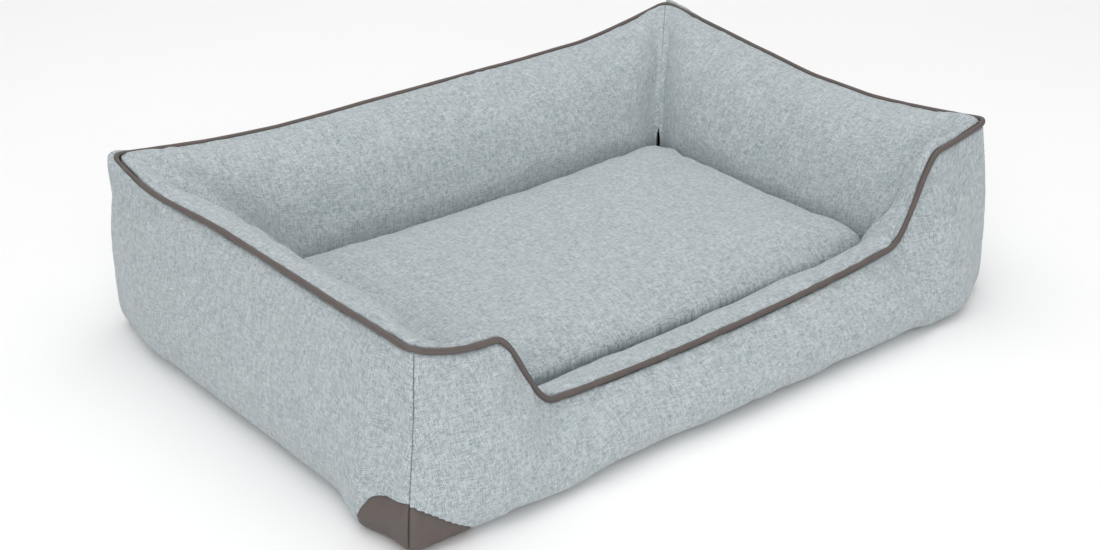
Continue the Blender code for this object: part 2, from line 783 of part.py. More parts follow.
def build():
    """Make the whole bed."""
    clear_scene()
    materials = {name: make_material(name) for name in MATERIALS}
    add_floor(materials)
    for wall in WALLS:
        add_wall(wall, materials["cover_fabric"], materials["filling"])
    add_piping(materials)
    add_patches(materials["leather"])
    add_cushion(materials)
    add_chain(materials)
    slider = add_slider(materials["zip_metal"])
    pull = add_pull(materials["zip_metal"])
    carrier = add_carrier("cushion_carrier", (0, CUSHION_CENTRE, CUSHION_BASE))
    for obj in list(bpy.data.objects):
        if obj.name.startswith(("cushion_cover", "cushion_filling", "zip_tape", "zip_coil")):
            parent_to(obj, carrier)
        if obj.name.startswith(("zip_stop", "zip_slider")):
            parent_to(obj, carrier)
    slider_carrier = add_carrier("slider_carrier", (SLIDER_X, COIL_BACK, CUSHION_SEAM_HEIGHT))
    parent_to(slider, slider_carrier)
    parent_to(pull, slider_carrier)
    parent_to(slider_carrier, carrier)


build()
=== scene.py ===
"""Looks of a rectangular pet bed: stuffed walls under a piped rim, a low entrance and a loose cushion.

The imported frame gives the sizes. Cloth is laid out on fine grids that follow the frame's sections, a short
simulation fills it, and the seams, puckers, folds, piping, patches and zip are worked over that.
Metres, +Z up; +X runs along the long side and -Y points to the entrance.
"""

import json
import logging
import math
from dataclasses import dataclass, field
from enum import Enum

import bpy
import numpy as np
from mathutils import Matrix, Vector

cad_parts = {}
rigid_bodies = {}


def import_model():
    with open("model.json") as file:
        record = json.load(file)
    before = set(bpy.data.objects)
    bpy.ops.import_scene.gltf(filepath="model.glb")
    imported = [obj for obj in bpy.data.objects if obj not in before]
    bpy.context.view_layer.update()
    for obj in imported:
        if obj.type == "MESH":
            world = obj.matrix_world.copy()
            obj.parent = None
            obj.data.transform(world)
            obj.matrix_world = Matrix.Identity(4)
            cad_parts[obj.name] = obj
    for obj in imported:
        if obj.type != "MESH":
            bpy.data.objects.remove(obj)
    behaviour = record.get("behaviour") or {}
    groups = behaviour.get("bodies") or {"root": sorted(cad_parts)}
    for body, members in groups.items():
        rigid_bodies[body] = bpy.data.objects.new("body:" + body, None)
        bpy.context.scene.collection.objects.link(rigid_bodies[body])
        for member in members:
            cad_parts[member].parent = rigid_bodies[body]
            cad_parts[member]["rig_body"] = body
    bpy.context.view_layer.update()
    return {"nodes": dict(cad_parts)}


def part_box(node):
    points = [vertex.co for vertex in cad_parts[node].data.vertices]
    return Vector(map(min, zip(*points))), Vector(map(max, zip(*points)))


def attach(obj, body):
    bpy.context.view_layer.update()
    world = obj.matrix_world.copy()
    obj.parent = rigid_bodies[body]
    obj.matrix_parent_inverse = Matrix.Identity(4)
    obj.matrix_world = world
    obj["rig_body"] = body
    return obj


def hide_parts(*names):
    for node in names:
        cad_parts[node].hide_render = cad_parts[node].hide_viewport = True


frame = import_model()
LOG = logging.getLogger("pet_bed")

SHELL = "shell"
CUSHION = "cushion"
LAY = "lay"
NOTHING = 1e-9
LINE_KNOTS = 4096
GRID_KNOTS = 256
QUARTER = math.pi / 2.0
FULL_TURN = 2.0 * math.pi


# ---- Named choices -----------------------------------------------------------------------------
class Side(Enum):
    """The four walls, anticlockwise from the entrance."""

    FRONT = "front"
    RIGHT = "right"
    BACK = "back"
    LEFT = "left"


class Corner(Enum):
    """The four corners, each by its two walls: the one that ends there, then the one that starts."""

    FRONT_RIGHT = (Side.FRONT, Side.RIGHT)
    BACK_RIGHT = (Side.RIGHT, Side.BACK)
    BACK_LEFT = (Side.BACK, Side.LEFT)
    FRONT_LEFT = (Side.LEFT, Side.FRONT)


class Face(Enum):
    """The two sewn faces of a wall."""

    OUTER = "outer"
    INNER = "inner"


# ---- Numbers and grids -------------------------------------------------------------------------
def ease(share: np.ndarray | float) -> np.ndarray | float:
    """Return a smooth step from 0 to 1 over a share from 0 to 1."""
    held = np.clip(share, 0.0, 1.0)
    return held * held * (3.0 - 2.0 * held)


def rolling(seed: int, places: np.ndarray, wave: float) -> np.ndarray:
    """Return smooth noise from -1 to 1 along a line.

    Args:
        seed: Number that picks the pattern.
        places: Distances along the line.
        wave: Distance between neighbouring swells.

    Returns:
        One value for each place.
    """
    knots = np.random.default_rng(seed).uniform(-1.0, 1.0, LINE_KNOTS)
    steps = places / wave + LINE_KNOTS / 2.0
    low = np.floor(steps).astype(int)
    share = ease(steps - low)
    return knots[low % LINE_KNOTS] * (1.0 - share) + knots[(low + 1) % LINE_KNOTS] * share


def mottle(seed: int, across: np.ndarray, up: np.ndarray, wave_across: float, wave_up: float) -> np.ndarray:
    """Return smooth noise from -1 to 1 over a surface.

    Args:
        seed: Number that picks the pattern.
        across: First coordinate of each point.
        up: Second coordinate of each point.
        wave_across: Size of the swells along the first coordinate.
        wave_up: Size of the swells along the second coordinate.

    Returns:
        One value for each point.
    """
    knots = np.random.default_rng(seed).uniform(-1.0, 1.0, (GRID_KNOTS, GRID_KNOTS))
    middle = GRID_KNOTS / 2.0
    first, second = across / wave_across + middle, up / wave_up + middle
    i, j = np.floor(first).astype(int), np.floor(second).astype(int)
    s, t = ease(first - i), ease(second - j)
    i, j = i % (GRID_KNOTS - 1), j % (GRID_KNOTS - 1)
    lower = knots[i, j] * (1.0 - s) + knots[i + 1, j] * s
    upper = knots[i, j + 1] * (1.0 - s) + knots[i + 1, j + 1] * s
    return lower * (1.0 - t) + upper * t


def cubic_rows(coarse: int, fine: int) -> np.ndarray:
    """Return the weights that take evenly spaced values to a finer spacing on a smooth curve.

    Args:
        coarse: How many values there are.
        fine: How many are wanted between the same ends.

    Returns:
        A matrix of fine rows and coarse columns.
    """
    weights = np.zeros((fine, coarse))
    for row, place in enumerate(np.linspace(0.0, coarse - 1.0, fine)):
        base = min(int(place), coarse - 2)
        t = place - base
        shares = (
            -0.5 * t + t * t - 0.5 * t ** 3,
            1.0 - 2.5 * t * t + 1.5 * t ** 3,
            0.5 * t + 2.0 * t * t - 1.5 * t ** 3,
            -0.5 * t * t + 0.5 * t ** 3,
        )
        for step, share in zip((-1, 0, 1, 2), shares):
            weights[row, min(max(base + step, 0), coarse - 1)] += share
    return weights


def refine(grid: np.ndarray, rows: int, columns: int) -> np.ndarray:
    """Return a grid of vectors at a finer spacing."""
    taken = np.einsum("ri,ijk->rjk", cubic_rows(grid.shape[0], rows), grid)
    return np.einsum("cj,rjk->rck", cubic_rows(grid.shape[1], columns), taken)


def run_length(points: np.ndarray) -> np.ndarray:
    """Return the distance along a polyline at each of its points."""
    return np.concatenate(([0.0], np.cumsum(np.linalg.norm(np.diff(points, axis=0), axis=1))))


def even_curve(points: np.ndarray, count: int) -> np.ndarray:
    """Return a polyline's points spread evenly by length.

    Args:
        points: The polyline, one point a row.
        count: How many points are wanted.

    Returns:
        An array of count points.
    """
    gone = run_length(points)
    wanted = np.linspace(0.0, gone[-1], count)
    return np.stack([np.interp(wanted, gone, points[:, k]) for k in range(points.shape[1])], axis=1)


def outward(grid: np.ndarray) -> np.ndarray:
    """Return the unit normals of a grid whose columns run to the right when it is seen from outside."""
    across = np.gradient(grid, axis=1)
    up = np.gradient(grid, axis=0)
    normals = np.cross(across, up)
    return normals / np.maximum(np.linalg.norm(normals, axis=2, keepdims=True), NOTHING)


def travelled(grid: np.ndarray, axis: int) -> np.ndarray:
    """Return the distance travelled along one axis of a grid, from its first row or column."""
    steps = np.linalg.norm(np.diff(grid, axis=axis), axis=2)
    start = np.zeros_like(np.take(steps, [0], axis=axis))
    return np.concatenate((start, np.cumsum(steps, axis=axis)), axis=axis)


# ---- Mesh objects ------------------------------------------------------------------------------
def keep_lay(mesh: bpy.types.Mesh, lay: np.ndarray) -> None:
    """Store the cloth's own coordinates on a mesh."""
    stored = mesh.attributes.new(LAY, "FLOAT_VECTOR", "POINT")
    stored.data.foreach_set("vector", np.ascontiguousarray(lay, np.float32).ravel())


def mesh_object(name: str, points: np.ndarray, faces: list,
                lay: np.ndarray | None = None) -> bpy.types.Object:
    """Make a smooth mesh object.

    Args:
        name: The piece's name.
        points: One corner a row.
        faces: Tuples of corner numbers.
        lay: The cloth's own coordinates at each corner, in metres; the corner itself where none is given.

    Returns:
        The new object, in the scene.
    """
    mesh = bpy.data.meshes.new(name)
    mesh.from_pydata(points.tolist(), [], [tuple(int(i) for i in f) for f in faces])
    mesh.polygons.foreach_set("use_smooth", [True] * len(mesh.polygons))
    keep_lay(mesh, points if lay is None else lay)
    mesh.update()
    obj = bpy.data.objects.new(name, mesh)
    bpy.context.scene.collection.objects.link(obj)
    return obj


def grid_faces(rows: int, columns: int, start: int = 0, wrap: bool = False) -> list:
    """Return the four-sided faces of a grid.

    Args:
        rows: Rows of corners.
        columns: Corners in a row.
        start: Number of the first corner.
        wrap: Whether the last column joins the first.

    Returns:
        Tuples of corner numbers, seen anticlockwise from the side that outward() points to.
    """
    last = columns if wrap else columns - 1
    return [
        (start + i * columns + j, start + i * columns + (j + 1) % columns,
         start + (i + 1) * columns + (j + 1) % columns, start + (i + 1) * columns + j)
        for i in range(rows - 1) for j in range(last)
    ]


def closed_faces(rows: int, columns: int) -> list:
    """Return the faces of a body between two grids of one size, the second the far side of the first."""
    count = rows * columns
    faces = grid_faces(rows, columns) + [f[::-1] for f in grid_faces(rows, columns, count)]
    edge = list(range(columns)) + [i * columns + columns - 1 for i in range(1, rows)]
    edge += [(rows - 1) * columns + j for j in range(columns - 2, -1, -1)]
    edge += [i * columns for i in range(rows - 2, 0, -1)]
    return faces + [(b, a, a + count, b + count) for a, b in zip(edge, edge[1:] + edge[:1])]


def cloth_panel(name: str, grid: np.ndarray, thickness: float, lay: np.ndarray) -> bpy.types.Object:
    """Make a closed panel of cloth whose outer face is the grid.

    Args:
        name: The piece's name.
        grid: Rows and columns of points.
        thickness: The cloth's thickness.
        lay: Rows and columns of the cloth's own coordinates.

    Returns:
        The panel.
    """
    back = grid - outward(grid) * thickness
    points = np.concatenate((grid.reshape(-1, 3), back.reshape(-1, 3)))
    both = np.concatenate((lay.reshape(-1, 3), lay.reshape(-1, 3)))
    return mesh_object(name, points, closed_faces(*grid.shape[:2]), both)


def tube(path: np.ndarray, radius: np.ndarray, sides: int, closed: bool, start: int = 0,
         upright: tuple = (0.0, 0.0, 1.0)) -> tuple:
    """Sweep a round section along a path.

    Args:
        path: Points along the middle.
        radius: The radius at each point.
        sides: Corners round the section.
        closed: Whether the path is a loop.
        start: Number of the first corner.
        upright: A direction that the path never runs in.

    Returns:
        The corners, the faces, and lengthwise and roundwise coordinates in metres.
    """
    if closed:
        ahead = np.roll(path, -1, axis=0) - np.roll(path, 1, axis=0)
    else:
        ahead = np.gradient(path, axis=0)
    ahead /= np.linalg.norm(ahead, axis=1, keepdims=True)
    side = np.cross(ahead, upright)
    side /= np.maximum(np.linalg.norm(side, axis=1, keepdims=True), NOTHING)
    over = np.cross(side, ahead)
    turns = np.linspace(0.0, FULL_TURN, sides, endpoint=False)
    ring = side[:, None] * np.cos(turns)[None, :, None] + over[:, None] * np.sin(turns)[None, :, None]
    corners = path[:, None] + ring * radius[:, None, None]
    faces = grid_faces(len(path), sides, start, wrap=True)
    last = start + (len(path) - 1) * sides
    if closed:
        nexts = [(j + 1) % sides for j in range(sides)]
        faces += [(last + j, last + k, start + k, start + j) for j, k in enumerate(nexts)]
    else:
        faces.append(tuple(start + j for j in range(sides))[::-1])
        faces.append(tuple(last + j for j in range(sides)))
    lay = np.zeros_like(corners)
    lay[..., 0] = run_length(path)[:, None]
    lay[..., 1] = turns[None, :] * radius[:, None]
    return corners.reshape(-1, 3), faces, lay.reshape(-1, 3)


# ---- Materials ---------------------------------------------------------------------------------
class Nodes:
    """A short way to lay out shader nodes in one tree."""

    def __init__(self, tree: bpy.types.NodeTree) -> None:
        """Keep the tree that nodes are added to."""
        self.tree = tree

    def add(self, kind: str, inputs: dict | None = None, **settings: object) -> bpy.types.Node:
        """Add a node.

        Args:
            kind: The node's type name.
            inputs: Input name or number to a value, or to the socket that feeds it.
            settings: The node's own settings.

        Returns:
            The new node.
        """
        node = self.tree.nodes.new(kind)
        for key, value in settings.items():
            setattr(node, key, value)
        for key, value in (inputs or {}).items():
            if isinstance(value, bpy.types.NodeSocket):
                self.tree.links.new(value, node.inputs[key])
            else:
                node.inputs[key].default_value = value
        return node

    def sum(self, operation: str, *values: object) -> bpy.types.NodeSocket:
        """Return the result of a Math node with these inputs."""
        return self.add("ShaderNodeMath", dict(enumerate(values)), operation=operation).outputs[0]

    def mixed(self, *parts: tuple) -> bpy.types.NodeSocket:
        """Return the sum of (value, share) pairs, each value times its share."""
        total, *others = (self.sum("MULTIPLY", value, share) for value, share in parts)
        for other in others:
            total = self.sum("ADD", total, other)
        return total

    def stretch(self, vector: bpy.types.NodeSocket, factors: object) -> bpy.types.NodeSocket:
        """Return a vector multiplied by another."""
        return self.add("ShaderNodeVectorMath", {0: vector, 1: factors}, operation="MULTIPLY").outputs[0]

    def noise(self, vector: bpy.types.NodeSocket, scale: float, detail: float = 2.0) -> bpy.types.NodeSocket:
        """Return smooth noise from about 0 to 1."""
        node = self.add("ShaderNodeTexNoise", {"Vector": vector, "Scale": scale, "Detail": detail})
        return node.outputs[0]

    def span(self, value: bpy.types.NodeSocket, low: float, high: float, first: object = 0.0,
             last: object = 1.0) -> bpy.types.NodeSocket:
        """Return a value moved from one range to another, held at its ends."""
        node = self.add("ShaderNodeMapRange", {0: value, 1: low, 2: high, 3: first, 4: last})
        return node.outputs[0]

    def blend(self, share: object, first: object, second: object) -> bpy.types.NodeSocket:
        """Return a colour between two others."""
        node = self.add("ShaderNodeMix", {0: share, 6: first, 7: second}, data_type="RGBA")
        return node.outputs[2]


def shader_group(name: str, inputs: dict, outputs: dict) -> tuple:
    """Make an empty shader node group.

    Args:
        name: The group's name.
        inputs: Input name to (socket type, default).
        outputs: Output name to socket type.

    Returns:
        The group, its node layout, its inputs by name and its output node.
    """
    tree = bpy.data.node_groups.new(name, "ShaderNodeTree")
    for key, (kind, value) in inputs.items():
        socket = tree.interface.new_socket(key, in_out="INPUT", socket_type=kind)
        socket.default_value = value
    for key, kind in outputs.items():
        tree.interface.new_socket(key, in_out="OUTPUT", socket_type=kind)
    nodes = Nodes(tree)
    taken = nodes.add("NodeGroupInput").outputs
    return tree, nodes, taken, nodes.add("NodeGroupOutput")


FLOAT = "NodeSocketFloat"
VECTOR = "NodeSocketVector"
COLOUR = "NodeSocketColor"


def dash(nodes: Nodes, line: bpy.types.NodeSocket, run: bpy.types.NodeSocket) -> bpy.types.NodeSocket:
    """Shade each yarn in short dashes, shifted from yarn to yarn.

    Args:
        nodes: The group's nodes.
        line: The yarn's number.
        run: The distance along it, in yarns.

    Returns:
        A shade from 0 to 1 for each dash.
    """
    shifted = nodes.sum("ADD", nodes.sum("MULTIPLY", run, 0.20), nodes.sum("MULTIPLY", line, 0.618))
    spot = nodes.add("ShaderNodeCombineXYZ", {0: line, 1: nodes.sum("FLOOR", shifted)}).outputs[0]
    return nodes.add("ShaderNodeTexWhiteNoise", {"Vector": spot}, noise_dimensions="3D").outputs["Value"]


def woven_cloth_group() -> bpy.types.NodeTree:
    """Build the melange weave: crossing yarns of uneven shade, slubs and lengthwise streaks."""
    tree, nodes, taken, out = shader_group(
        "woven_cloth",
        {"Lay": (VECTOR, (0, 0, 0)), "Light": (COLOUR, (1, 1, 1, 1)), "Dark": (COLOUR, (0, 0, 0, 1)),
         "Pitch": (FLOAT, 0.001), "Streaks": (FLOAT, 0.5), "Contrast": (FLOAT, 1.0)},
        {"Colour": COLOUR, "Height": FLOAT, "Roughness": FLOAT},
    )
    per_yarn = nodes.sum("DIVIDE", 1.0, taken["Pitch"])
    scaled = nodes.add("ShaderNodeVectorMath", {0: taken["Lay"], "Scale": per_yarn}, operation="SCALE")
    yarns = scaled.outputs[0]
    warp, weft, fleck, slubs, cloud = (
        nodes.noise(nodes.stretch(yarns, per), 1.0, detail)
        for per, detail in (((0.95, 0.14, 0.3), 1.0), ((0.13, 1.00, 0.3), 1.0), ((1.40, 1.30, 0.5), 2.0),
                            ((0.34, 0.022, 0.1), 1.0), ((0.030, 0.012, 0.02), 3.0)))
    slub = nodes.span(slubs, 0.56, 0.74)
    spots = nodes.add("ShaderNodeSeparateXYZ", {0: yarns}).outputs
    column, row = nodes.sum("FLOOR", spots[0]), nodes.sum("FLOOR", spots[1])
    warp_dash = dash(nodes, column, spots[1])
    weft_dash = dash(nodes, row, spots[0])
    above = nodes.sum("PINGPONG", nodes.sum("ADD", column, row), 1.0)
    yarn = nodes.sum("ADD", nodes.sum("MULTIPLY", warp_dash, above),
                     nodes.sum("MULTIPLY", weft_dash, nodes.sum("SUBTRACT", 1.0, above)))
    shade = nodes.mixed((warp, 0.38), (weft, 0.38), (yarn, 0.80), (cloud, 0.10))
    shade = nodes.sum("SUBTRACT", shade, 0.83)
    shade = nodes.sum("MULTIPLY", shade, taken["Contrast"])
    lift = nodes.sum("MULTIPLY", slub, taken["Streaks"])
    shade = nodes.sum("ADD", nodes.sum("ADD", shade, 0.5), nodes.sum("MULTIPLY", lift, 0.28))
    shade = nodes.span(shade, 0.0, 1.0)
    waves = nodes.stretch(yarns, (math.pi, math.pi, 0.0))
    parts = nodes.add("ShaderNodeSeparateXYZ", {0: waves}).outputs
    over = nodes.sum("MULTIPLY", nodes.sum("SINE", parts[0]), nodes.sum("SINE", parts[1]))
    height = nodes.mixed((over, 0.30), (fleck, 0.35), (lift, 0.5))
    links = tree.links
    links.new(nodes.blend(shade, taken["Dark"], taken["Light"]), out.inputs["Colour"])
    links.new(height, out.inputs["Height"])
    links.new(nodes.span(fleck, 0.3, 0.7, 0.98, 0.86), out.inputs["Roughness"])
    return tree


def leather_grain_group() -> bpy.types.NodeTree:
    """Build the leather grain: small cells with fine creases between them, and soft uneven shade."""
    tree, nodes, taken, out = shader_group(
        "leather_grain",
        {"Place": (VECTOR, (0, 0, 0)), "Light": (COLOUR, (1, 1, 1, 1)), "Dark": (COLOUR, (0, 0, 0, 1)),
         "Cells": (FLOAT, 900.0)},
        {"Colour": COLOUR, "Height": FLOAT, "Roughness": FLOAT},
    )
    cells = nodes.add("ShaderNodeTexVoronoi", {"Vector": taken["Place"], "Scale": taken["Cells"]},
                      feature="DISTANCE_TO_EDGE").outputs[0]
    crease = nodes.span(cells, 0.0, 0.18)
    cloud = nodes.noise(taken["Place"], 60.0, 3.0)
    shade = nodes.sum("ADD", nodes.sum("MULTIPLY", crease, 0.35), nodes.span(cloud, 0.3, 0.7, 0.1, 0.65))
    links = tree.links
    links.new(nodes.blend(shade, taken["Dark"], taken["Light"]), out.inputs["Colour"])
    links.new(nodes.sum("ADD", crease, nodes.sum("MULTIPLY", cloud, 0.6)), out.inputs["Height"])
    links.new(nodes.span(cloud, 0.3, 0.7, 0.42, 0.58), out.inputs["Roughness"])
    return tree


def fibre_group() -> bpy.types.NodeTree:
    """Build loose fibre or foam: open cells or strands of uneven shade."""
    tree, nodes, taken, out = shader_group(
        "loose_fibre",
        {"Place": (VECTOR, (0, 0, 0)), "Light": (COLOUR, (1, 1, 1, 1)), "Dark": (COLOUR, (0, 0, 0, 1)),
         "Size": (FLOAT, 0.002)},
        {"Colour": COLOUR, "Height": FLOAT},
    )
    scale = nodes.sum("DIVIDE", 1.0, taken["Size"])
    bends = nodes.add("ShaderNodeTexNoise", {"Vector": taken["Place"], "Scale": 40.0, "Detail": 2.0})
    shift = {0: bends.outputs["Color"], 1: (0.02, 0.02, 0.02), 2: taken["Place"]}
    moved = nodes.add("ShaderNodeVectorMath", shift, operation="MULTIPLY_ADD").outputs[0]
    voronoi = nodes.add("ShaderNodeTexVoronoi", {"Vector": moved, "Scale": scale}, feature="SMOOTH_F1")
    cells = voronoi.outputs[0]
    links = tree.links
    links.new(nodes.blend(cells, taken["Light"], taken["Dark"]), out.inputs["Colour"])
    links.new(nodes.sum("SUBTRACT", 1.0, cells), out.inputs["Height"])
    return tree


class Effects:
    """The node groups that the finishes share, each built once."""

    def __init__(self) -> None:
        """Build the groups."""
        self.weave = woven_cloth_group()
        self.grain = leather_grain_group()
        self.fibre = fibre_group()


def new_material(name: str, sockets: dict) -> tuple:
    """Make a material with one Principled shader.

    Args:
        name: The material's name.
        sockets: Input name to the value set on the shader itself.

    Returns:
        The material, its node layout and its shader.
    """
    material = bpy.data.materials.new(name)
    material.use_nodes = True
    shader = material.node_tree.nodes["Principled BSDF"]
    for key, value in sockets.items():
        shader.inputs[key].default_value = value
    return material, Nodes(material.node_tree), shader


def raise_surface(nodes: Nodes, shader: bpy.types.Node, height: bpy.types.NodeSocket, bump: tuple) -> None:
    """Bump a shader's surface by a height; bump is the distance in metres and the strength."""
    node = nodes.add("ShaderNodeBump", {"Height": height, "Distance": bump[0], "Strength": bump[1]})
    nodes.tree.links.new(node.outputs[0], shader.inputs["Normal"])


def grouped_material(name: str, sockets: dict, effect: bpy.types.NodeTree, values: dict,
                     bump: tuple) -> bpy.types.Material:
    """Make a material whose colour, roughness and height come from one of the shared effects.

    Args:
        name: The material's name.
        sockets: Input name to the value set on the shader itself.
        effect: The effect's node group.
        values: The effect's input name to its value.
        bump: The bump's distance in metres and its strength.

    Returns:
        The material.
    """
    material, nodes, shader = new_material(name, sockets)
    links = nodes.tree.links
    group = nodes.add("ShaderNodeGroup", node_tree=effect)
    if "Lay" in group.inputs:
        links.new(nodes.add("ShaderNodeAttribute", attribute_name=LAY).outputs["Vector"], group.inputs["Lay"])
    else:
        links.new(nodes.add("ShaderNodeTexCoord").outputs["Object"], group.inputs["Place"])
    for key, value in values.items():
        group.inputs[key].default_value = (*value, 1.0) if isinstance(value, tuple) else value
    links.new(group.outputs["Colour"], shader.inputs["Base Color"])
    if "Roughness" in group.outputs:
        links.new(group.outputs["Roughness"], shader.inputs["Roughness"])
    raise_surface(nodes, shader, group.outputs["Height"], bump)
    return material


@dataclass(frozen=True)
class ClothFinish:
    """A woven cloth: the shades of its yarns, their pitch, and how uneven it is."""

    name: str
    light: tuple
    dark: tuple
    pitch: float = 0.00095
    streaks: float = 0.5
    contrast: float = 1.30
    sheen: float = 0.25
    depth: float = 0.0007
    strength: float = 0.55

    def material(self, effects: Effects) -> bpy.types.Material:
        """Return the cloth's material."""
        sockets = {"Sheen Weight": self.sheen, "Sheen Roughness": 0.6, "Specular IOR Level": 0.2}
        values = {"Light": self.light, "Dark": self.dark, "Pitch": self.pitch, "Streaks": self.streaks,
                  "Contrast": self.contrast}
        return grouped_material(self.name, sockets, effects.weave, values, (self.depth, self.strength))


@dataclass(frozen=True)
class LeatherFinish:
    """A smooth coated leather: its shades and the size of its grain."""

    name: str
    light: tuple
    dark: tuple
    cells: float = 1100.0
    depth: float = 0.0003
    strength: float = 0.35

    def material(self, effects: Effects) -> bpy.types.Material:
        """Return the leather's material."""
        values = {"Light": self.light, "Dark": self.dark, "Cells": self.cells}
        bump = (self.depth, self.strength)
        return grouped_material(self.name, {"Specular IOR Level": 0.45}, effects.grain, values, bump)


@dataclass(frozen=True)
class FibreFinish:
    """Stuffing or foam: its shades and the size of its cells."""

    name: str
    light: tuple
    dark: tuple
    size: float = 0.003

    def material(self, effects: Effects) -> bpy.types.Material:
        """Return the fibre's material."""
        values = {"Light": self.light, "Dark": self.dark, "Size": self.size}
        sockets = {"Roughness": 1.0, "Specular IOR Level": 0.1}
        return grouped_material(self.name, sockets, effects.fibre, values, (0.002, 0.6))


@dataclass(frozen=True)
class HardFinish:
    """A hard surface, metal or moulded plastic, with faint rubbed marks."""

    name: str
    colour: tuple
    metallic: float
    rough: float

    def material(self, effects: Effects) -> bpy.types.Material:
        """Return the hard surface's material; effects are not needed for it."""
        material, nodes, shader = new_material(self.name, {"Metallic": self.metallic})
        place = nodes.add("ShaderNodeTexCoord").outputs["Object"]
        marks = nodes.noise(nodes.stretch(place, (300.0, 2400.0, 2400.0)), 1.0, 4.0)
        rubbed = (*(c * 0.82 for c in self.colour), 1.0)
        worn = nodes.blend(nodes.span(marks, 0.35, 0.7), rubbed, (*self.colour, 1.0))
        links = nodes.tree.links
        links.new(worn, shader.inputs["Base Color"])
        dull = nodes.span(marks, 0.3, 0.7, self.rough * 0.8, self.rough * 1.25)
        links.new(dull, shader.inputs["Roughness"])
        raise_surface(nodes, shader, marks, (0.00005, 0.3))
        return material


class Palette:
    """Every finish of the bed, by the record's slot, and the thread and rubber that share a slot."""

    def __init__(self) -> None:
        """Build the materials."""
        effects = Effects()
        cloth_light, cloth_dark = (0.538, 0.586, 0.607), (0.245, 0.293, 0.312)
        finishes = {
            "cover_fabric": ClothFinish("melange_cloth", cloth_light, cloth_dark),
            "base_fabric": ClothFinish("grip_cloth", (0.050, 0.052, 0.056), (0.018, 0.019, 0.021),
                                       pitch=0.0016, streaks=0.1),
            "foam": FibreFinish("floor_foam", (0.78, 0.76, 0.66), (0.52, 0.50, 0.42), size=0.0016),
            "filling": FibreFinish("fibre_filling", (0.90, 0.90, 0.88), (0.70, 0.71, 0.71), size=0.004),
            "leather": LeatherFinish("taupe_leather", (0.128, 0.104, 0.095), (0.078, 0.063, 0.057)),
            "zip_tape": ClothFinish("zip_tape_weave", (0.30, 0.34, 0.36), (0.17, 0.20, 0.22), pitch=0.0006,
                                    streaks=0.0),
            "zip_coil": HardFinish("coil_plastic", (0.16, 0.17, 0.18), 0.0, 0.42),
            "zip_metal": HardFinish("brushed_metal", (0.52, 0.52, 0.53), 1.0, 0.30),
        }
        self.slots = {slot: finish.material(effects) for slot, finish in finishes.items()}
        self.thread = ClothFinish("dark_thread", (0.12, 0.14, 0.15), (0.05, 0.06, 0.07), pitch=0.0003,
                                  streaks=0.0).material(effects)
        self.grip = HardFinish("grip_rubber", (0.03, 0.03, 0.032), 0.0, 0.7).material(effects)

    def dress(self, obj: bpy.types.Object, slot: str, material: bpy.types.Material | None = None) -> None:
        """Give a piece its finish.

        Args:
            obj: The piece.
            slot: The record's slot that it takes its finish from.
            material: Its own material, where it isn't the slot's.
        """
        obj.data.materials.clear()
        obj.data.materials.append(material or self.slots[slot])


def place_piece(obj: bpy.types.Object, palette: Palette, slot: str, body: str = SHELL, nodes: tuple = (),
                material: bpy.types.Material | None = None) -> bpy.types.Object:
    """Dress a piece, fix it to its body and hide the frame's nodes that it stands for.

    Args:
        obj: The piece.
        palette: The finishes.
        slot: The record's slot.
        body: The body that it rides on.
        nodes: The frame's nodes that it stands for.
        material: Its own material, where it isn't the slot's.

    Returns:
        The piece.
    """
    palette.dress(obj, slot, material)
    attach(obj, body)
    if nodes:
        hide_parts(*nodes)
    LOG.info("%s rides on %s, %d faces", obj.name, body, len(obj.data.polygons))
    return obj


# ---- Cloth simulation --------------------------------------------------------------------------
@dataclass
class Filling:
    """A grid of cloth waiting to be filled, and what the simulation moved."""

    name: str
    grid: np.ndarray
    held: np.ndarray
    growth: float
    cap: float
    pressure: float = 4.0
    moved: np.ndarray = field(init=False)

    def __post_init__(self) -> None:
        """Start with nothing moved."""
        self.moved = np.zeros_like(self.grid)


CLOTH_SETTINGS = {"quality": 5, "mass": 0.25, "tension_stiffness": 12.0, "compression_stiffness": 12.0,
                  "shear_stiffness": 4.0, "bending_stiffness": 0.35, "use_pressure": True}


def fill_all(fillings: list[Filling], frames: int = 20) -> None:
    """Fill every waiting grid by one run of the cloth simulation.

    Args:
        fillings: The grids; each keeps what it was moved by, no further than its cap.
        frames: How many steps the run takes.
    """
    objects = []
    for filling in fillings:
        rows, columns = filling.grid.shape[:2]
        obj = mesh_object(filling.name, filling.grid.reshape(-1, 3), grid_faces(rows, columns))
        seams = obj.vertex_groups.new(name="seams")
        held = filling.held.reshape(-1)
        seams.add([int(i) for i in np.flatnonzero(held)], 1.0, "REPLACE")
        cloth = obj.modifiers.new("cloth", "CLOTH").settings
        for key, value in CLOTH_SETTINGS.items():
            setattr(cloth, key, value)
        cloth.shrink_min = -filling.growth
        cloth.uniform_pressure_force = filling.pressure
        cloth.vertex_group_mass = "seams"
        cloth.effector_weights.gravity = 0.0
        objects.append(obj)
    for step in range(1, frames + 1):
        bpy.context.scene.frame_set(step)
    graph = bpy.context.evaluated_depsgraph_get()
    for filling, obj in zip(fillings, objects):
        found = np.zeros(filling.grid.size)
        obj.evaluated_get(graph).data.vertices.foreach_get("co", found)
        moved = found.reshape(filling.grid.shape) - filling.grid
        size = np.maximum(np.linalg.norm(moved, axis=2, keepdims=True), NOTHING)
        filling.moved = moved / size * filling.cap * np.tanh(size / filling.cap)
        LOG.info("%s filled, largest move %.1f mm", filling.name, 1000.0 * size.max())
    bpy.context.scene.frame_set(1)
    for obj in objects:
        bpy.data.objects.remove(obj, do_unlink=True)


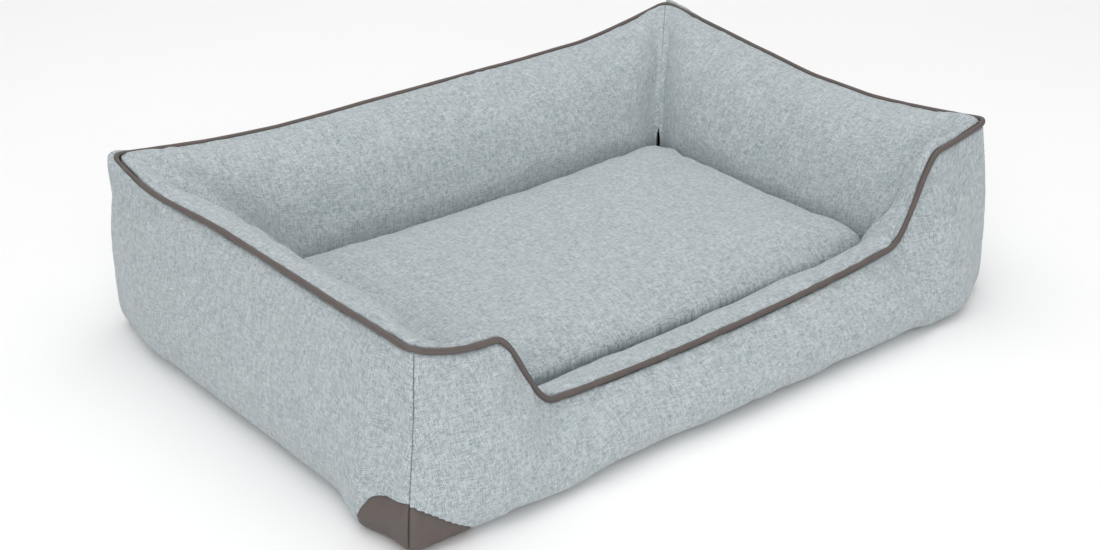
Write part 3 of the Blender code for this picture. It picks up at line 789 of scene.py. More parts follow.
# ---- The rim line ------------------------------------------------------------------------------
@dataclass(frozen=True)
class Rise:
    """How a wall's rim rises towards one corner: over what length, and how sharply."""

    length: float
    power: float


@dataclass(frozen=True)
class RimLine:
    """The line that the piping follows round the top of the walls."""

    half_length: float
    half_width: float
    ear_height: float
    piping_radius: float = 0.0035
    corner_radius: float = 0.016
    entrance_height: float = 0.079
    entrance_bow: float = 0.14
    entrance_lowest: float = -0.10
    entrance_half: tuple = (0.240, 0.254)
    slope_length: tuple = (0.078, 0.076)
    slope_power: float = 1.25
    lean_reach: float = 0.24
    lean_power: float = 1.2
    ripple: float = 0.0014
    ripple_wave: float = 0.075

    def half(self, side: Side) -> float:
        """Return half the rim's length along a wall."""
        return self.half_length if side in (Side.FRONT, Side.BACK) else self.half_width

    def out(self, side: Side) -> float:
        """Return how far a wall's rim lies from the middle of the bed."""
        return self.half_width if side in (Side.FRONT, Side.BACK) else self.half_length

    def axes(self, side: Side) -> tuple:
        """Return a wall's direction along the rim and its direction outwards, in plan."""
        turn = {Side.FRONT: 0, Side.RIGHT: 1, Side.BACK: 2, Side.LEFT: 3}[side]
        along = np.array([(1, 0), (0, 1), (-1, 0), (0, -1)][turn], float)
        return along, np.array([along[1], -along[0]])

    def mitre(self, side: Side) -> float:
        """Return the distance from a wall's middle to its mitred ends."""
        return self.half(side) - self.corner_radius * (1.0 - math.sqrt(0.5))

    def corner(self, side: Side, place: float) -> Corner:
        """Return the corner that a place along a wall is nearest to."""
        end = 1 if place < 0.0 else 0
        return next(c for c in Corner if c.value[end] is side)

    def corner_height(self, corner: Corner) -> float:
        """Return the rim's height at a corner: the front left ear slumps, the right ones stand up."""
        lean = {Corner.FRONT_LEFT: -0.018, Corner.FRONT_RIGHT: 0.003, Corner.BACK_RIGHT: 0.004,
                Corner.BACK_LEFT: 0.004}
        return self.ear_height + lean[corner]

    def girth(self, corner: Corner) -> tuple:
        """Return how far a corner bulges at its top and at its foot, and the radius of its turn under."""
        return {Corner.FRONT_LEFT: (0.015, 0.044, 0.014), Corner.FRONT_RIGHT: (0.011, 0.010, 0.034),
                Corner.BACK_RIGHT: (0.014, 0.018, 0.030), Corner.BACK_LEFT: (0.020, 0.019, 0.034)}[corner]

    def spot(self, corner: Corner) -> np.ndarray:
        """Return a corner's place in plan."""
        across = 1.0 if Side.RIGHT in corner.value else -1.0
        up = 1.0 if Side.BACK in corner.value else -1.0
        return np.array((across * self.half_length, up * self.half_width))

    def lean(self, points: np.ndarray) -> np.ndarray:
        """Return points carried out by the ears that lean outwards."""
        leans = {Corner.BACK_LEFT: (-0.015, -0.003), Corner.FRONT_RIGHT: (0.001, 0.0)}
        moved = points.copy()
        for corner, shift in leans.items():
            gap = np.linalg.norm(points[..., :2] - self.spot(corner), axis=-1)
            rise = np.clip(points[..., 2] / self.ear_height, 0.0, 1.2) ** self.lean_power
            share = ease(1.0 - gap / self.lean_reach) * rise
            moved[..., :2] += share[..., None] * np.array(shift)
        return moved

    def height(self, side: Side, along: np.ndarray) -> np.ndarray:
        """Return the rim's height over a wall.

        Args:
            side: The wall.
            along: Distances from the wall's middle.

        Returns:
            A height for each distance.
        """
        middles = {Side.FRONT: (0.176, 0.196), Side.RIGHT: (0.193, 0.193), Side.BACK: (0.193, 0.194),
                   Side.LEFT: (0.196, 0.195)}
        rises = {Side.FRONT: (Rise(0.09, 2.0), Rise(0.12, 1.3)),
                 Side.RIGHT: (Rise(0.18, 1.3), Rise(0.28, 1.25)),
                 Side.BACK: (Rise(0.16, 1.5), Rise(0.20, 1.3)),
                 Side.LEFT: (Rise(0.09, 1.6), Rise(0.08, 1.5))}
        share = ease(along / self.half(side) * 0.8 + 0.5)
        level = middles[side][0] * (1.0 - share) + middles[side][1] * share
        for sign, middle, rise in zip((-1.0, 1.0), middles[side], rises[side]):
            gone = np.clip((self.mitre(side) - sign * along) / rise.length, 0.0, 1.0)
            corner = self.corner(side, sign)
            level = level + (self.corner_height(corner) - middle) * (1.0 - gone) ** rise.power
        ripple = self.ripple * rolling(31 + len(side.value), along, self.ripple_wave)
        level = level + ripple * ease((self.mitre(side) - abs(along)) / 0.05)
        if side is not Side.FRONT:
            return level
        low = self.entrance_height + self.entrance_bow * (along - self.entrance_lowest) ** 2
        first, second = (ease((sign * along - start) / run) ** self.slope_power for sign, start, run in
                         zip((-1.0, 1.0), self.entrance_half, self.slope_length))
        return low + (level - low) * np.maximum(first, second)

    def rim(self, side: Side, along: np.ndarray) -> tuple:
        """Return how far the rim is drawn in at its rounded corners, and its height."""
        gone = (self.half(side) - np.abs(along)) / self.corner_radius
        turn = np.arcsin(np.clip(1.0 - gone, 0.0, math.sqrt(0.5)))
        return self.corner_radius * (1.0 - np.cos(turn)), self.height(side, along)


# ---- One wall ----------------------------------------------------------------------------------
@dataclass(frozen=True)
class Swell:
    """A place where the filling stands out: its middle (along, up the face), height and half sizes."""

    face: Face
    middle: tuple
    height: float
    reach: tuple


@dataclass(frozen=True)
class Crease:
    """A fold pressed into one face: its two ends as (distance along the wall, share up the face)."""

    face: Face
    start: tuple
    end: tuple
    depth: float
    width: float


@dataclass(frozen=True)
class End:
    """How a wall's inner face ends: its depth, the length it narrows over, and the next wall's depth."""

    depth: float
    reach: float
    meets: float


@dataclass
class Wall:
    """One stuffed wall: an outer and an inner panel round a filling."""

    side: Side
    rim: RimLine
    outer_bulge: float
    depth: float
    ends: tuple
    creases: tuple = ()
    swells: tuple = ()
    foot_bulge: float = 0.038
    foot_square: float = 0.72
    corner_ease: float = 0.120
    swing: float = 0.05
    swing_wave: float = 0.16
    floor_gap: float = 0.0005
    seam_gap: float = 0.0004
    bottom_radius: float = 0.024
    crest_rise: float = 0.0045
    crest_inset: float = 0.020
    end_inset: float = 0.0056
    widest_base: float = 0.027
    tuck: float = 0.004
    foot_gap: float = 0.0015
    widest_share: float = 0.225
    fullness: float = 1.50
    low_fullness: float = 0.95
    skew_reach: float = 0.200
    end_fullness: float = 1.35
    gather: float = 0.045
    gather_reach: float = 0.060
    crest_taper: float = 0.100
    spare: float = 0.0015
    short: float = 0.0003
    cloth: float = 0.0012
    seed: int = 1
    lips: tuple = (0.0, 0.0)
    lip_reach: float = 0.16
    yield_reach: float = 0.075
    stuffing_gap: float = 0.005
    outer_rows: int = 27
    inner_rows: int = 41
    column_step: float = 0.0078

    def columns(self, fine: bool) -> np.ndarray:
        """Return the places of the columns along the wall, closer together near its ends."""
        count = int(2.0 * self.rim.half(self.side) / self.column_step) | 1
        spread = np.linspace(-1.0, 1.0, 2 * count - 1 if fine else count)
        return self.rim.mitre(self.side) * (spread - 0.08 * spread ** 9) / 0.92

    def rows(self, face: Face, fine: bool) -> int:
        """Return how many rows a face has."""
        count = self.outer_rows if face is Face.OUTER else self.inner_rows
        return 2 * count - 1 if fine else count

    def place(self, along: np.ndarray, inward: np.ndarray, depth: np.ndarray, height: np.ndarray,
              cut: np.ndarray | None = None) -> np.ndarray:
        """Turn a wall's own coordinates into points.

        Args:
            along: Distance from the wall's middle.
            inward: How far the rim is drawn in there.
            depth: How far inside the rim the point lies.
            height: The point's height.
            cut: How much shorter than the rim the face is there, or None to follow a mitre.

        Returns:
            Points with a last axis of three.
        """
        mitre = self.rim.mitre(self.side)
        run, away = self.rim.axes(self.side)
        if cut is None:
            skew = np.maximum(0.0, 1.0 - (mitre - np.abs(along)) / self.skew_reach)
            distance = np.minimum(np.abs(along), mitre - self.short) - depth * skew
        else:
            start = mitre - self.short - cut - self.gather
            share = np.clip((np.abs(along) - start) / (mitre - start), 0.0, 1.0)
            distance = np.where(np.abs(along) < start, np.abs(along), start + self.gather * share)
        out = self.rim.out(self.side) - inward - depth
        plan = (np.sign(along) * distance)[..., None] * run + out[..., None] * away
        return np.concatenate((plan, height[..., None]), axis=-1)

    def outer_section(self, place: float, height: float) -> np.ndarray:
        """Return the outer face's section at one column, from the base seam up to the piping.

        Args:
            place: The column's distance from the wall's middle.
            height: The rim's height there.

        Returns:
            (depth, height) pairs.
        """
        gone = self.rim.half(self.side) - abs(place)
        share = float(ease(gone / self.corner_ease))
        head, spread, turned = self.rim.girth(self.rim.corner(self.side, place))
        swing = 1.0 + self.swing * float(rolling(self.seed + 5, np.array(place), self.swing_wave))
        bulge = (head + (self.outer_bulge - head) * share) * swing
        foot = (spread + (self.foot_bulge - spread) * share) * swing
        low = min(turned + (self.bottom_radius - turned) * share, 0.45 * height)
        floor = self.floor_gap
        top = height - self.rim.piping_radius - self.seam_gap
        arc = np.linspace(0.0, QUARTER, 24)
        rise = np.linspace(0.0, 1.0, 60)[1:]
        turn_up = floor + low * (1.0 - np.cos(arc) ** self.foot_square)
        lower = np.stack((-foot * np.sin(arc) ** self.foot_square, turn_up), axis=1)
        girth = foot + (bulge - foot) * ease(rise * 1.3)
        swell = -girth * np.cos(QUARTER * rise ** 1.25)
        upper = np.stack((swell, floor + low + (top - floor - low) * rise), axis=1)
        curve = np.concatenate((lower, upper))
        lip = self.lip(place)
        if lip > 0.0002:
            reach = ease((rise - 0.72) / 0.28)
            curve[len(lower):, 0] -= lip * 1.1 * reach
            curve[len(lower):, 1] += lip * 0.75 * reach
            turn = np.linspace(0.0, math.pi, 10)[1:]
            roll = lip * 0.45
            head = curve[-1]
            curve = np.concatenate((curve, np.stack((head[0] + roll * (1.0 - np.cos(turn)),
                                                     head[1] + roll * np.sin(turn)), axis=1)))
        return even_curve(curve, self.rows(Face.OUTER, True))

    def lip(self, place: float) -> float:
        """Return how far the outer cloth stands proud of the piping at one column."""
        mitre = self.rim.mitre(self.side)
        gaps = (mitre + place, mitre - place)
        first, last = (float(ease(1.0 - gap / self.lip_reach)) for gap in gaps)
        return self.lips[0] * first + self.lips[1] * last

    def depth_at(self, place: float) -> float:
        """Return how far the inner face reaches into the nest at one column."""
        end = self.ends[0 if place < 0.0 else 1]
        share = float(ease((self.rim.mitre(self.side) - abs(place)) / end.reach))
        return end.depth + (self.depth - end.depth) * share

    def inner_curve(self, depth: float, height: float, gone: float) -> np.ndarray:
        """Return the line that an inner face follows from the piping down to the floor.

        Args:
            depth: How far it reaches into the nest.
            height: The rim's height there.
            gone: The distance from the wall's end.

        Returns:
            (depth, height) pairs.
        """
        crest = height + self.crest_rise * (1.0 - 0.7 * max(0.0, 1.0 - gone / 0.03) ** 2)
        widest = self.widest_base + self.widest_share * height
        opened = float(ease(gone / self.crest_taper))
        inset = self.end_inset + (self.crest_inset - self.end_inset) * opened
        low = float(ease((0.16 - height) / 0.06))
        own = self.fullness + (self.low_fullness - self.fullness) * low
        full = self.end_fullness + (own - self.end_fullness) * float(ease(gone / self.gather_reach))
        climb = np.linspace(0.0, QUARTER, 14)
        start = self.rim.piping_radius + 0.0002
        foot = height + self.seam_gap
        first = np.stack((start + (inset - start) * (1.0 - np.cos(climb)),
                          foot + (crest - foot) * np.sin(climb)), axis=1)
        turn = np.linspace(0.0, QUARTER, 50)[1:]
        second = np.stack((inset + (depth - inset) * np.sin(turn) ** full,
                           crest - (crest - widest) * (1.0 - np.cos(turn) ** full)), axis=1)
        under = np.linspace(0.0, QUARTER, 20)[1:]
        third = np.stack((depth - self.tuck * (1.0 - np.cos(under)),
                          widest * (1.0 - np.sin(under)) + self.foot_gap), axis=1)
        return np.concatenate((first, second, third))

    def cut_at(self, place: float, depth: np.ndarray) -> np.ndarray:
        """Return how much shorter than the rim the inner face is down a column, to meet the next wall's."""
        end = self.ends[0 if place < 0.0 else 1]
        share = np.clip((depth - self.end_inset) / (end.depth - self.end_inset), 0.0, 1.0)
        cut = np.where(depth < self.end_inset, depth, self.end_inset + (end.meets - self.end_inset) * share)
        widest = int(depth.argmax())
        under = np.arange(len(depth)) > widest
        return np.where(under, end.meets - (depth[widest] - depth), cut)

    def base_grid(self, face: Face) -> np.ndarray:
        """Return a face's fine grid before anything presses or fills it."""
        columns = self.columns(True)
        inward, height = self.rim.rim(self.side, columns)
        mitre = self.rim.mitre(self.side)
        rows = self.rows(face, True)
        curves, cuts = [], []
        for place, top in zip(columns.tolist(), height.tolist()):
            if face is Face.OUTER:
                curves.append(self.outer_section(place, top))
                continue
            curve = even_curve(self.inner_curve(self.depth_at(place), top, mitre - abs(place)), rows)
            curves.append(curve)
            cuts.append(self.cut_at(place, curve[:, 0]))
        points = np.stack(curves, axis=1)
        along, drawn_in = (np.broadcast_to(line, points.shape[:2]) for line in (columns, inward))
        cut = np.stack(cuts, axis=1) if cuts else None
        return self.rim.lean(self.place(along, drawn_in, points[..., 0], points[..., 1], cut))

    def spread(self, grid: np.ndarray) -> tuple:
        """Return each point's distance along the wall, and its distance from the wall's nearer end."""
        along = grid[..., :2] @ self.rim.axes(self.side)[0]
        return along, np.where(along < 0.0, -along[:, :1], along[:, -1:]) - np.abs(along)

    def prepare(self) -> Filling:
        """Lay out both faces and return the coarse strip that the simulation fills."""
        self.grids = {face: self.base_grid(face) for face in Face}
        strip = np.concatenate([self.grids[face][::2, ::2] for face in Face])
        held = np.zeros(strip.shape[:2], bool)
        outer = self.outer_rows
        held[[0, outer - 1, outer, -1]] = True
        held[:, [0, -1]] = True
        self.filling = Filling(f"{self.side.value}_wall_blank", strip, held, growth=0.035, cap=0.0055)
        return self.filling

    def press(self, face: Face, grid: np.ndarray) -> np.ndarray:
        """Return how far each point of a face is pressed in or puffed out by seams, folds and use.

        Args:
            face: The face.
            grid: Its filled grid.

        Returns:
            A distance along the normal for each point.
        """
        up = travelled(grid, 0)
        share = up / up[-1:]
        along, from_ends = self.spread(grid)
        inner = face is Face.INNER
        seed = self.seed + (40 if inner else 0)
        gaps = (up, up[-1:] - up)
        base_gap, rim_gap = gaps[::-1] if inner else gaps
        calm = np.clip(np.minimum(rim_gap, from_ends) / 0.012, 0.0, 1.0)
        moved = 0.0016 * mottle(seed, along, up, 0.110, 0.070) * calm
        moved += 0.0008 * mottle(seed + 1, along, up, 0.034, 0.050) * calm
        pucker = rolling(seed + 2, along, 0.013) * 0.7 + rolling(seed + 3, along, 0.031)
        foot = rolling(seed + 4, along, 0.026)
        side = rolling(seed + 6, up, 0.024)
        for depth, worked, gap, fade in ((0.0015, pucker, rim_gap, 0.022),
                                         (0.0019 if inner else 0.0007, foot, base_gap, 0.030),
                                         (0.0015 if inner else 0.0004, side, from_ends, 0.020)):
            moved += depth * worked * np.exp(-gap / fade) * np.clip(gap / 0.006, 0.0, 1.0)
        if inner:
            moved += 0.0030 * mottle(seed + 7, along, up, 0.048, 0.30) * calm * ease(share * 1.6)
        for crease in self.creases:
            if crease.face is face:
                moved += self.crease_depth(crease, along, share, up[-1:])
        for swell in self.swells:
            if swell.face is face:
                off_along = (along - swell.middle[0]) / swell.reach[0]
                off_up = (up - swell.middle[1]) / swell.reach[1]
                moved += swell.height * np.exp(-off_along ** 2 - off_up ** 2)
        return moved * (np.clip(from_ends / 0.010, 0.0, 1.0) if inner else 1.0)

    def crease_depth(self, crease: Crease, along: np.ndarray, share: np.ndarray,
                     length: np.ndarray) -> np.ndarray:
        """Return the profile of one fold: a groove with a soft swell on each side, fading at both ends.

        Args:
            crease: The fold.
            along: Each point's distance along the wall.
            share: Each point's share up the face.
            length: The face's length up each column.

        Returns:
            A distance along the normal for each point.
        """
        rise = float(length.mean())
        start = np.array((crease.start[0], crease.start[1] * rise))
        run = np.array((crease.end[0], crease.end[1] * rise)) - start
        gap = np.stack((along, share * rise), axis=-1) - start
        part = np.clip(gap @ run / (run @ run), 0.0, 1.0)
        off = np.linalg.norm(gap - part[..., None] * run, axis=-1) / crease.width
        fade = np.sin(math.pi * np.clip(part, 0.02, 0.98)) ** 0.7
        return crease.depth * fade * (0.45 * np.exp(-((off - 1.7) / 0.9) ** 2) - np.exp(-off ** 2))

    def lay_out(self, face: Face) -> np.ndarray:
        """Return the cloth's own coordinates: along the wall, up the face and a number for the face."""
        grid = self.grids[face]
        up = travelled(grid, 0)
        offset = 3.0 * list(Side).index(self.side) + (1.3 if face is Face.INNER else 0.0)
        return np.stack((self.spread(grid)[0] + offset, up, np.full_like(up, offset)), axis=-1)

    def finish_faces(self, patches: "CornerPatches") -> None:
        """Add the filling's push, the folds and the room for the leather patches to both faces."""
        start = 0
        for face in Face:
            rows = self.rows(face, False)
            moved = self.filling.moved[start:start + rows]
            start += rows
            grid = self.grids[face]
            grid = grid + refine(moved, *grid.shape[:2]) * self.yielding(face, grid)[..., None]
            grid = grid + outward(grid) * self.press(face, grid)[..., None]
            if face is Face.INNER:
                grid = self.keep_clear(grid)
            grid[..., 2] = np.maximum(grid[..., 2], 0.001)
            self.grids[face] = grid
        self.bare_outer = self.grids[Face.OUTER]
        self.grids[Face.OUTER] = patches.sink(self, self.bare_outer)

    def yielding(self, face: Face, grid: np.ndarray) -> np.ndarray:
        """Return how far each point of a face follows the filling: the seams and the foot are held."""
        share = ease(self.spread(grid)[1] / self.yield_reach)
        if face is Face.OUTER:
            share = (0.15 + 0.85 * share) * (0.35 + 0.65 * ease(travelled(grid, 0) / 0.11))
        return share

    def keep_clear(self, grid: np.ndarray) -> np.ndarray:
        """Return the inner grid held back from the cushion's space."""
        away = np.array((*self.rim.axes(self.side)[1], 0.0))
        depth = self.rim.out(self.side) - grid @ away
        allowed = np.array([self.depth_at(float(a)) for a in self.columns(True)]) + self.spare
        return grid + away * np.maximum(0.0, depth - allowed)[..., None]

    def build(self, palette: Palette) -> None:
        """Build and dress the two panels and the filling."""
        name = self.side.value
        for face in Face:
            lay = self.lay_out(face)
            panel = cloth_panel(f"{name}_{face.value}_cloth", self.grids[face], self.cloth, lay)
            place_piece(panel, palette, "cover_fabric", nodes=(f"{face.value}_panel_{name}",))
        self.build_filling(palette)

    def build_filling(self, palette: Palette) -> None:
        """Build the stuffing: a closed body just inside both panels."""
        parts = (self.grids[Face.OUTER][4:-3:4, 2:-2:4], self.grids[Face.INNER][3:-3:4, 2:-2:4])
        ring = np.concatenate([part - outward(part) * self.stuffing_gap for part in parts]).transpose(1, 0, 2)
        columns, around = ring.shape[:2]
        faces = [f[::-1] for f in grid_faces(columns, around, wrap=True)]
        faces.append(tuple(range(around)))
        faces.append(tuple((columns - 1) * around + j for j in range(around))[::-1])
        body = mesh_object(f"{self.side.value}_wall_stuffing", ring.reshape(-1, 3), faces)
        place_piece(body, palette, "filling", nodes=(f"bolster_filling_{self.side.value}",))


# ---- Leather patches and corner seams ----------------------------------------------------------
@dataclass
class CornerPatches:
    """The leather patches let into the foot of each corner, one half on each wall."""

    sunk: float = 0.0022
    turned: float = 0.0125
    point: float = 0.045
    leather: float = 0.0012
    blend: float = 0.004
    hem: float = 0.0006
    edge_drop: float = 0.0024
    edge_width: float = 0.0014
    proud: float = 0.0004
    rows: int = 18
    columns: int = 26

    def size(self, corner: Corner, side: Side) -> tuple:
        """Return how far a half patch runs along its wall and up it, and how full its top edge is.

        The front left foot shows its patch; the other corners are turned under, with theirs below the turn.
        """
        if corner is not Corner.FRONT_LEFT:
            return 0.034, 0.0, 2.0
        return (0.060, 0.040, 1.2) if side is Side.FRONT else (0.060, 0.041, 5.0)

    def under(self, face: np.ndarray, up: np.ndarray) -> np.ndarray:
        """Return how far up each column the cloth stays turned under the wall."""
        half = len(face) // 2
        columns = zip(face[:half, :, 2].T, up[:half].T)
        return np.array([np.interp(self.turned, height, gone) for height, gone in columns])

    def top(self, corner: Corner, side: Side, from_corner: np.ndarray, under: np.ndarray) -> np.ndarray:
        """Return how far up the face a half patch reaches, at distances from the corner."""
        width, height, fullness = self.size(corner, side)
        if corner is not Corner.FRONT_LEFT:
            return 0.5 * under
        point = (self.point - height) * np.exp(-from_corner / 0.016)
        return (height + point) * (1.0 - np.clip(from_corner / width, 0.0, 1.0) ** fullness) + under

    def sink(self, wall: Wall, grid: np.ndarray) -> np.ndarray:
        """Return a wall's outer grid with the cloth drawn in under the patches, where leather lies."""
        up = travelled(grid, 0)
        inside = np.zeros_like(up)
        for sign in (-1.0, 1.0):
            from_corner = np.broadcast_to(wall.rim.mitre(wall.side) - sign * wall.columns(True), up.shape)
            corner = wall.rim.corner(wall.side, sign)
            within = (self.top(corner, wall.side, from_corner, self.under(grid, up)) - up) / self.blend
            width = self.size(corner, wall.side)[0]
            inside += ease(within + 0.5) * ease((width - from_corner) / self.blend)
        return grid - outward(grid) * (inside * self.sunk)[..., None]

    def build(self, walls: dict, palette: Palette) -> None:
        """Build both halves of all four patches."""
        for corner in Corner:
            name = corner.name.lower()
            for side, sign in zip(corner.value, (1.0, -1.0)):
                half = self.half_patch(f"{name}_{side.value}_patch", walls[side], corner, sign)
                place_piece(half, palette, "leather", nodes=(f"corner_patch_{name}_on_{side.value}",))

    def half_patch(self, name: str, wall: Wall, corner: Corner, sign: float) -> bpy.types.Object:
        """Build one half of a patch over a wall's outer face.

        Args:
            name: The piece's name.
            wall: The wall.
            corner: The corner.
            sign: 1 at the wall's last corner, -1 at its first.

        Returns:
            The half patch.
        """
        rows, columns = self.rows, self.columns
        face = wall.bare_outer
        normals = outward(face)
        up = travelled(face, 0)
        under = self.under(face, up)
        spots = wall.columns(True)
        width = self.size(corner, wall.side)[0]
        from_corner = width * np.linspace(1.0, 0.0, columns) ** 1.1
        place = sign * (wall.rim.mitre(wall.side) - from_corner)
        if sign < 0.0:
            place, from_corner = place[::-1], from_corner[::-1]
        index = np.interp(place, spots, np.arange(len(spots)))
        points = np.zeros((rows, columns, 3))
        for column, spot in enumerate(index):
            low = min(int(spot), len(spots) - 2)
            t = spot - low
            line, lean, rise = (part[:, low] * (1.0 - t) + part[:, low + 1] * t
                                for part in (face, normals, up))
            turned = np.interp(spot, np.arange(len(under)), under)
            off = float(from_corner[column])
            reach = np.linspace(0.0, float(self.top(corner, wall.side, off, turned)) + self.hem, rows)
            share = np.linspace(0.0, 1.0, rows)
            edge = np.minimum(off + self.hem, width - off)
            rim = np.minimum((1.0 - share) * reach[-1], edge)
            raised = self.proud - self.edge_drop * np.exp(-rim / self.edge_width)
            for k in range(3):
                points[:, column, k] = np.interp(reach, rise, line[:, k])
                points[:, column, k] += raised * np.interp(reach, rise, lean[:, k])
        return cloth_panel(name, points, self.leather, points)


@dataclass
class CornerSeams:
    """The thread that closes each corner from the piping down to its patch."""

    pitch: float = 0.0036
    stitch: float = 0.0023
    radius: float = 0.00038

    def build(self, walls: dict, palette: Palette, patches: CornerPatches) -> None:
        """Build one row of stitches at each corner."""
        taper = np.array((0.4, 0.9, 1.0, 0.9, 0.4))
        for corner in Corner:
            first, second = (walls[side] for side in corner.value)
            away = first.bare_outer[:, -1] + second.bare_outer[:, 0]
            line = away / 2.0
            away[:, 2] = 0.0
            away /= np.linalg.norm(away, axis=1, keepdims=True)
            rise = run_length(line)
            turned = rise[line[:, 2] < patches.turned].max()
            bare = patches.point if corner is Corner.FRONT_LEFT else 0.0
            starts = np.arange(bare + turned, rise[-1] - 0.003, self.pitch)
            points, faces, lays = [], [], []
            count = 0
            for start in starts:
                spots = np.linspace(start, start + self.stitch, len(taper))
                path = np.stack([np.interp(spots, rise, way) for way in (line + away * 0.0001).T], axis=1)
                path[:, :2] += 0.0004 * math.sin(start * 900.0) * np.array((away[0][1], -away[0][0]))
                corners, sides, lay = tube(path, self.radius * taper, 6, False, count)
                count += len(corners)
                points.append(corners)
                faces += sides
                lays.append(lay)
            name = f"{first.side.value}_{second.side.value}_corner_stitches"
            thread = mesh_object(name, np.concatenate(points), faces, np.concatenate(lays))
            place_piece(thread, palette, "cover_fabric", material=palette.thread)


# ---- Piping ------------------------------------------------------------------------------------
@dataclass
class Piping:
    """The leather piping round the rim and the cord inside it."""

    rim: RimLine
    cover: float = 0.0011
    cord_gap: float = 0.0003
    share: float = 0.92
    step: float = 0.004
    sides: int = 14
    cord_sides: int = 8

    def path(self, walls: dict) -> np.ndarray:
        """Return the loop that the piping follows."""
        runs = []
        for side in Side:
            columns = walls[side].columns(True)[:-1]
            inward, height = self.rim.rim(side, columns)
            runs.append(walls[side].place(columns, inward, np.zeros_like(columns), height))
        loop = self.rim.lean(np.concatenate(runs))
        loop = np.concatenate((loop, loop[:1]))
        length = np.linalg.norm(np.diff(loop, axis=0), axis=1).sum()
        return even_curve(loop, int(length / self.step))[:-1]

    def build(self, walls: dict, palette: Palette) -> None:
        """Build the cover as a hollow loop and the cord inside it."""
        path = self.path(walls)
        length = np.arange(len(path)) * self.step
        uneven = 1.0 + 0.035 * rolling(71, length, 0.014) + 0.02 * rolling(72, length, 0.05)
        swell = self.share * self.rim.piping_radius * uneven
        outer, faces, lay = tube(path, swell, self.sides, True)
        inner, hollow, inner_lay = tube(path, swell - self.cover, self.sides, True, len(outer))
        faces = faces + [f[::-1] for f in hollow]
        cover = mesh_object("piping_cover", np.concatenate((outer, inner)), faces,
                            np.concatenate((lay, inner_lay)))
        place_piece(cover, palette, "leather", nodes=("rim_piping_cover",))
        core, sides, core_lay = tube(path, swell - self.cover - self.cord_gap, self.cord_sides, True)
        cord = mesh_object("piping_core", core, sides, core_lay)
        place_piece(cord, palette, "filling", nodes=("rim_piping_cord",))


# ---- Floor of the nest and underside -----------------------------------------------------------
def plan_of(node: str) -> tuple:
    """Return half the two sides of a node's box in plan, and its middle."""
    low, high = (np.array(corner[:2]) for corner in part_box(node))
    return (high - low) / 2.0, (high + low) / 2.0


@dataclass
class NestFloor:
    """The quilted floor cloth, the foam under it and the grip cloth under the bed."""

    step: float = 0.008
    corner_radius: float = 0.020
    border: float = 0.050
    dot_pitch: float = 0.030
    dot_radius: float = 0.0035
    dot_sides: int = 10

    def sheet(self, name: str, node: str, press: float, up: bool) -> bpy.types.Object:
        """Build a cloth sheet with rounded corners that fills a node's box.

        Args:
            name: The piece's name.
            node: The frame's node.
            press: How deep the cloth is worked.
            up: Whether its good face is on top.

        Returns:
            The sheet.
        """
        low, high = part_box(node)
        half, middle = plan_of(node)
        plan = rounded_grid(half, self.corner_radius, self.step)
        grid = np.zeros((*plan.shape[:2], 3))
        grid[..., :2] = plan + middle
        edge = np.minimum(half[0] - np.abs(plan[..., 0]), half[1] - np.abs(plan[..., 1]))
        work = press * (0.5 + 0.5 * mottle(91, plan[..., 0], plan[..., 1], 0.05, 0.04)) * ease(edge / 0.02)
        thickness = min(0.0011, high.z - low.z - 0.0001)
        if up:
            grid[..., 2] = high.z - work
            return cloth_panel(name, grid, thickness, grid)
        grid[..., 2] = low.z + work
        return cloth_panel(name, grid[:, ::-1], thickness, grid[:, ::-1])

    def build(self, palette: Palette) -> None:
        """Build the two sheets and the grip dots, and dress the foam."""
        top = self.sheet("nest_floor_cloth", "floor_panel", 0.0001, True)
        place_piece(top, palette, "cover_fabric", nodes=("floor_panel",))
        under = self.sheet("grip_base_cloth", "base_panel", 0.0001, False)
        place_piece(under, palette, "base_fabric", nodes=("base_panel",))
        self.dots(palette)
        palette.dress(frame["nodes"]["floor_pad"], "foam")

    def dots(self, palette: Palette) -> None:
        """Build the rubber grip dots, printed on the underside in a staggered pattern."""
        low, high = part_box("base_panel")
        points, faces = [], []
        rows = int((high.y - low.y - self.border) / self.dot_pitch)
        columns = int((high.x - low.x - self.border) / self.dot_pitch)
        turns = np.linspace(0.0, FULL_TURN, self.dot_sides, endpoint=False)
        for i in range(rows):
            for j in range(columns):
                x = (j - (columns - 1) / 2.0 + (0.25 if i % 2 else -0.25)) * self.dot_pitch
                y = (i - (rows - 1) / 2.0) * self.dot_pitch
                start = len(points)
                for size, level in ((1.0, 0.0004), (1.0, 0.0001), (0.6, -0.0002)):
                    reach = self.dot_radius * size
                    points += [(x + reach * math.cos(turn), y + reach * math.sin(turn), low.z + level)
                               for turn in turns]
                faces += [f[::-1] for f in grid_faces(3, self.dot_sides, start, wrap=True)]
                faces.append(tuple(range(start, start + self.dot_sides)))
                faces.append(tuple(range(start + 2 * self.dot_sides, len(points)))[::-1])
        dots = mesh_object("grip_dots", np.array(points), faces)
        place_piece(dots, palette, "base_fabric", material=palette.grip)


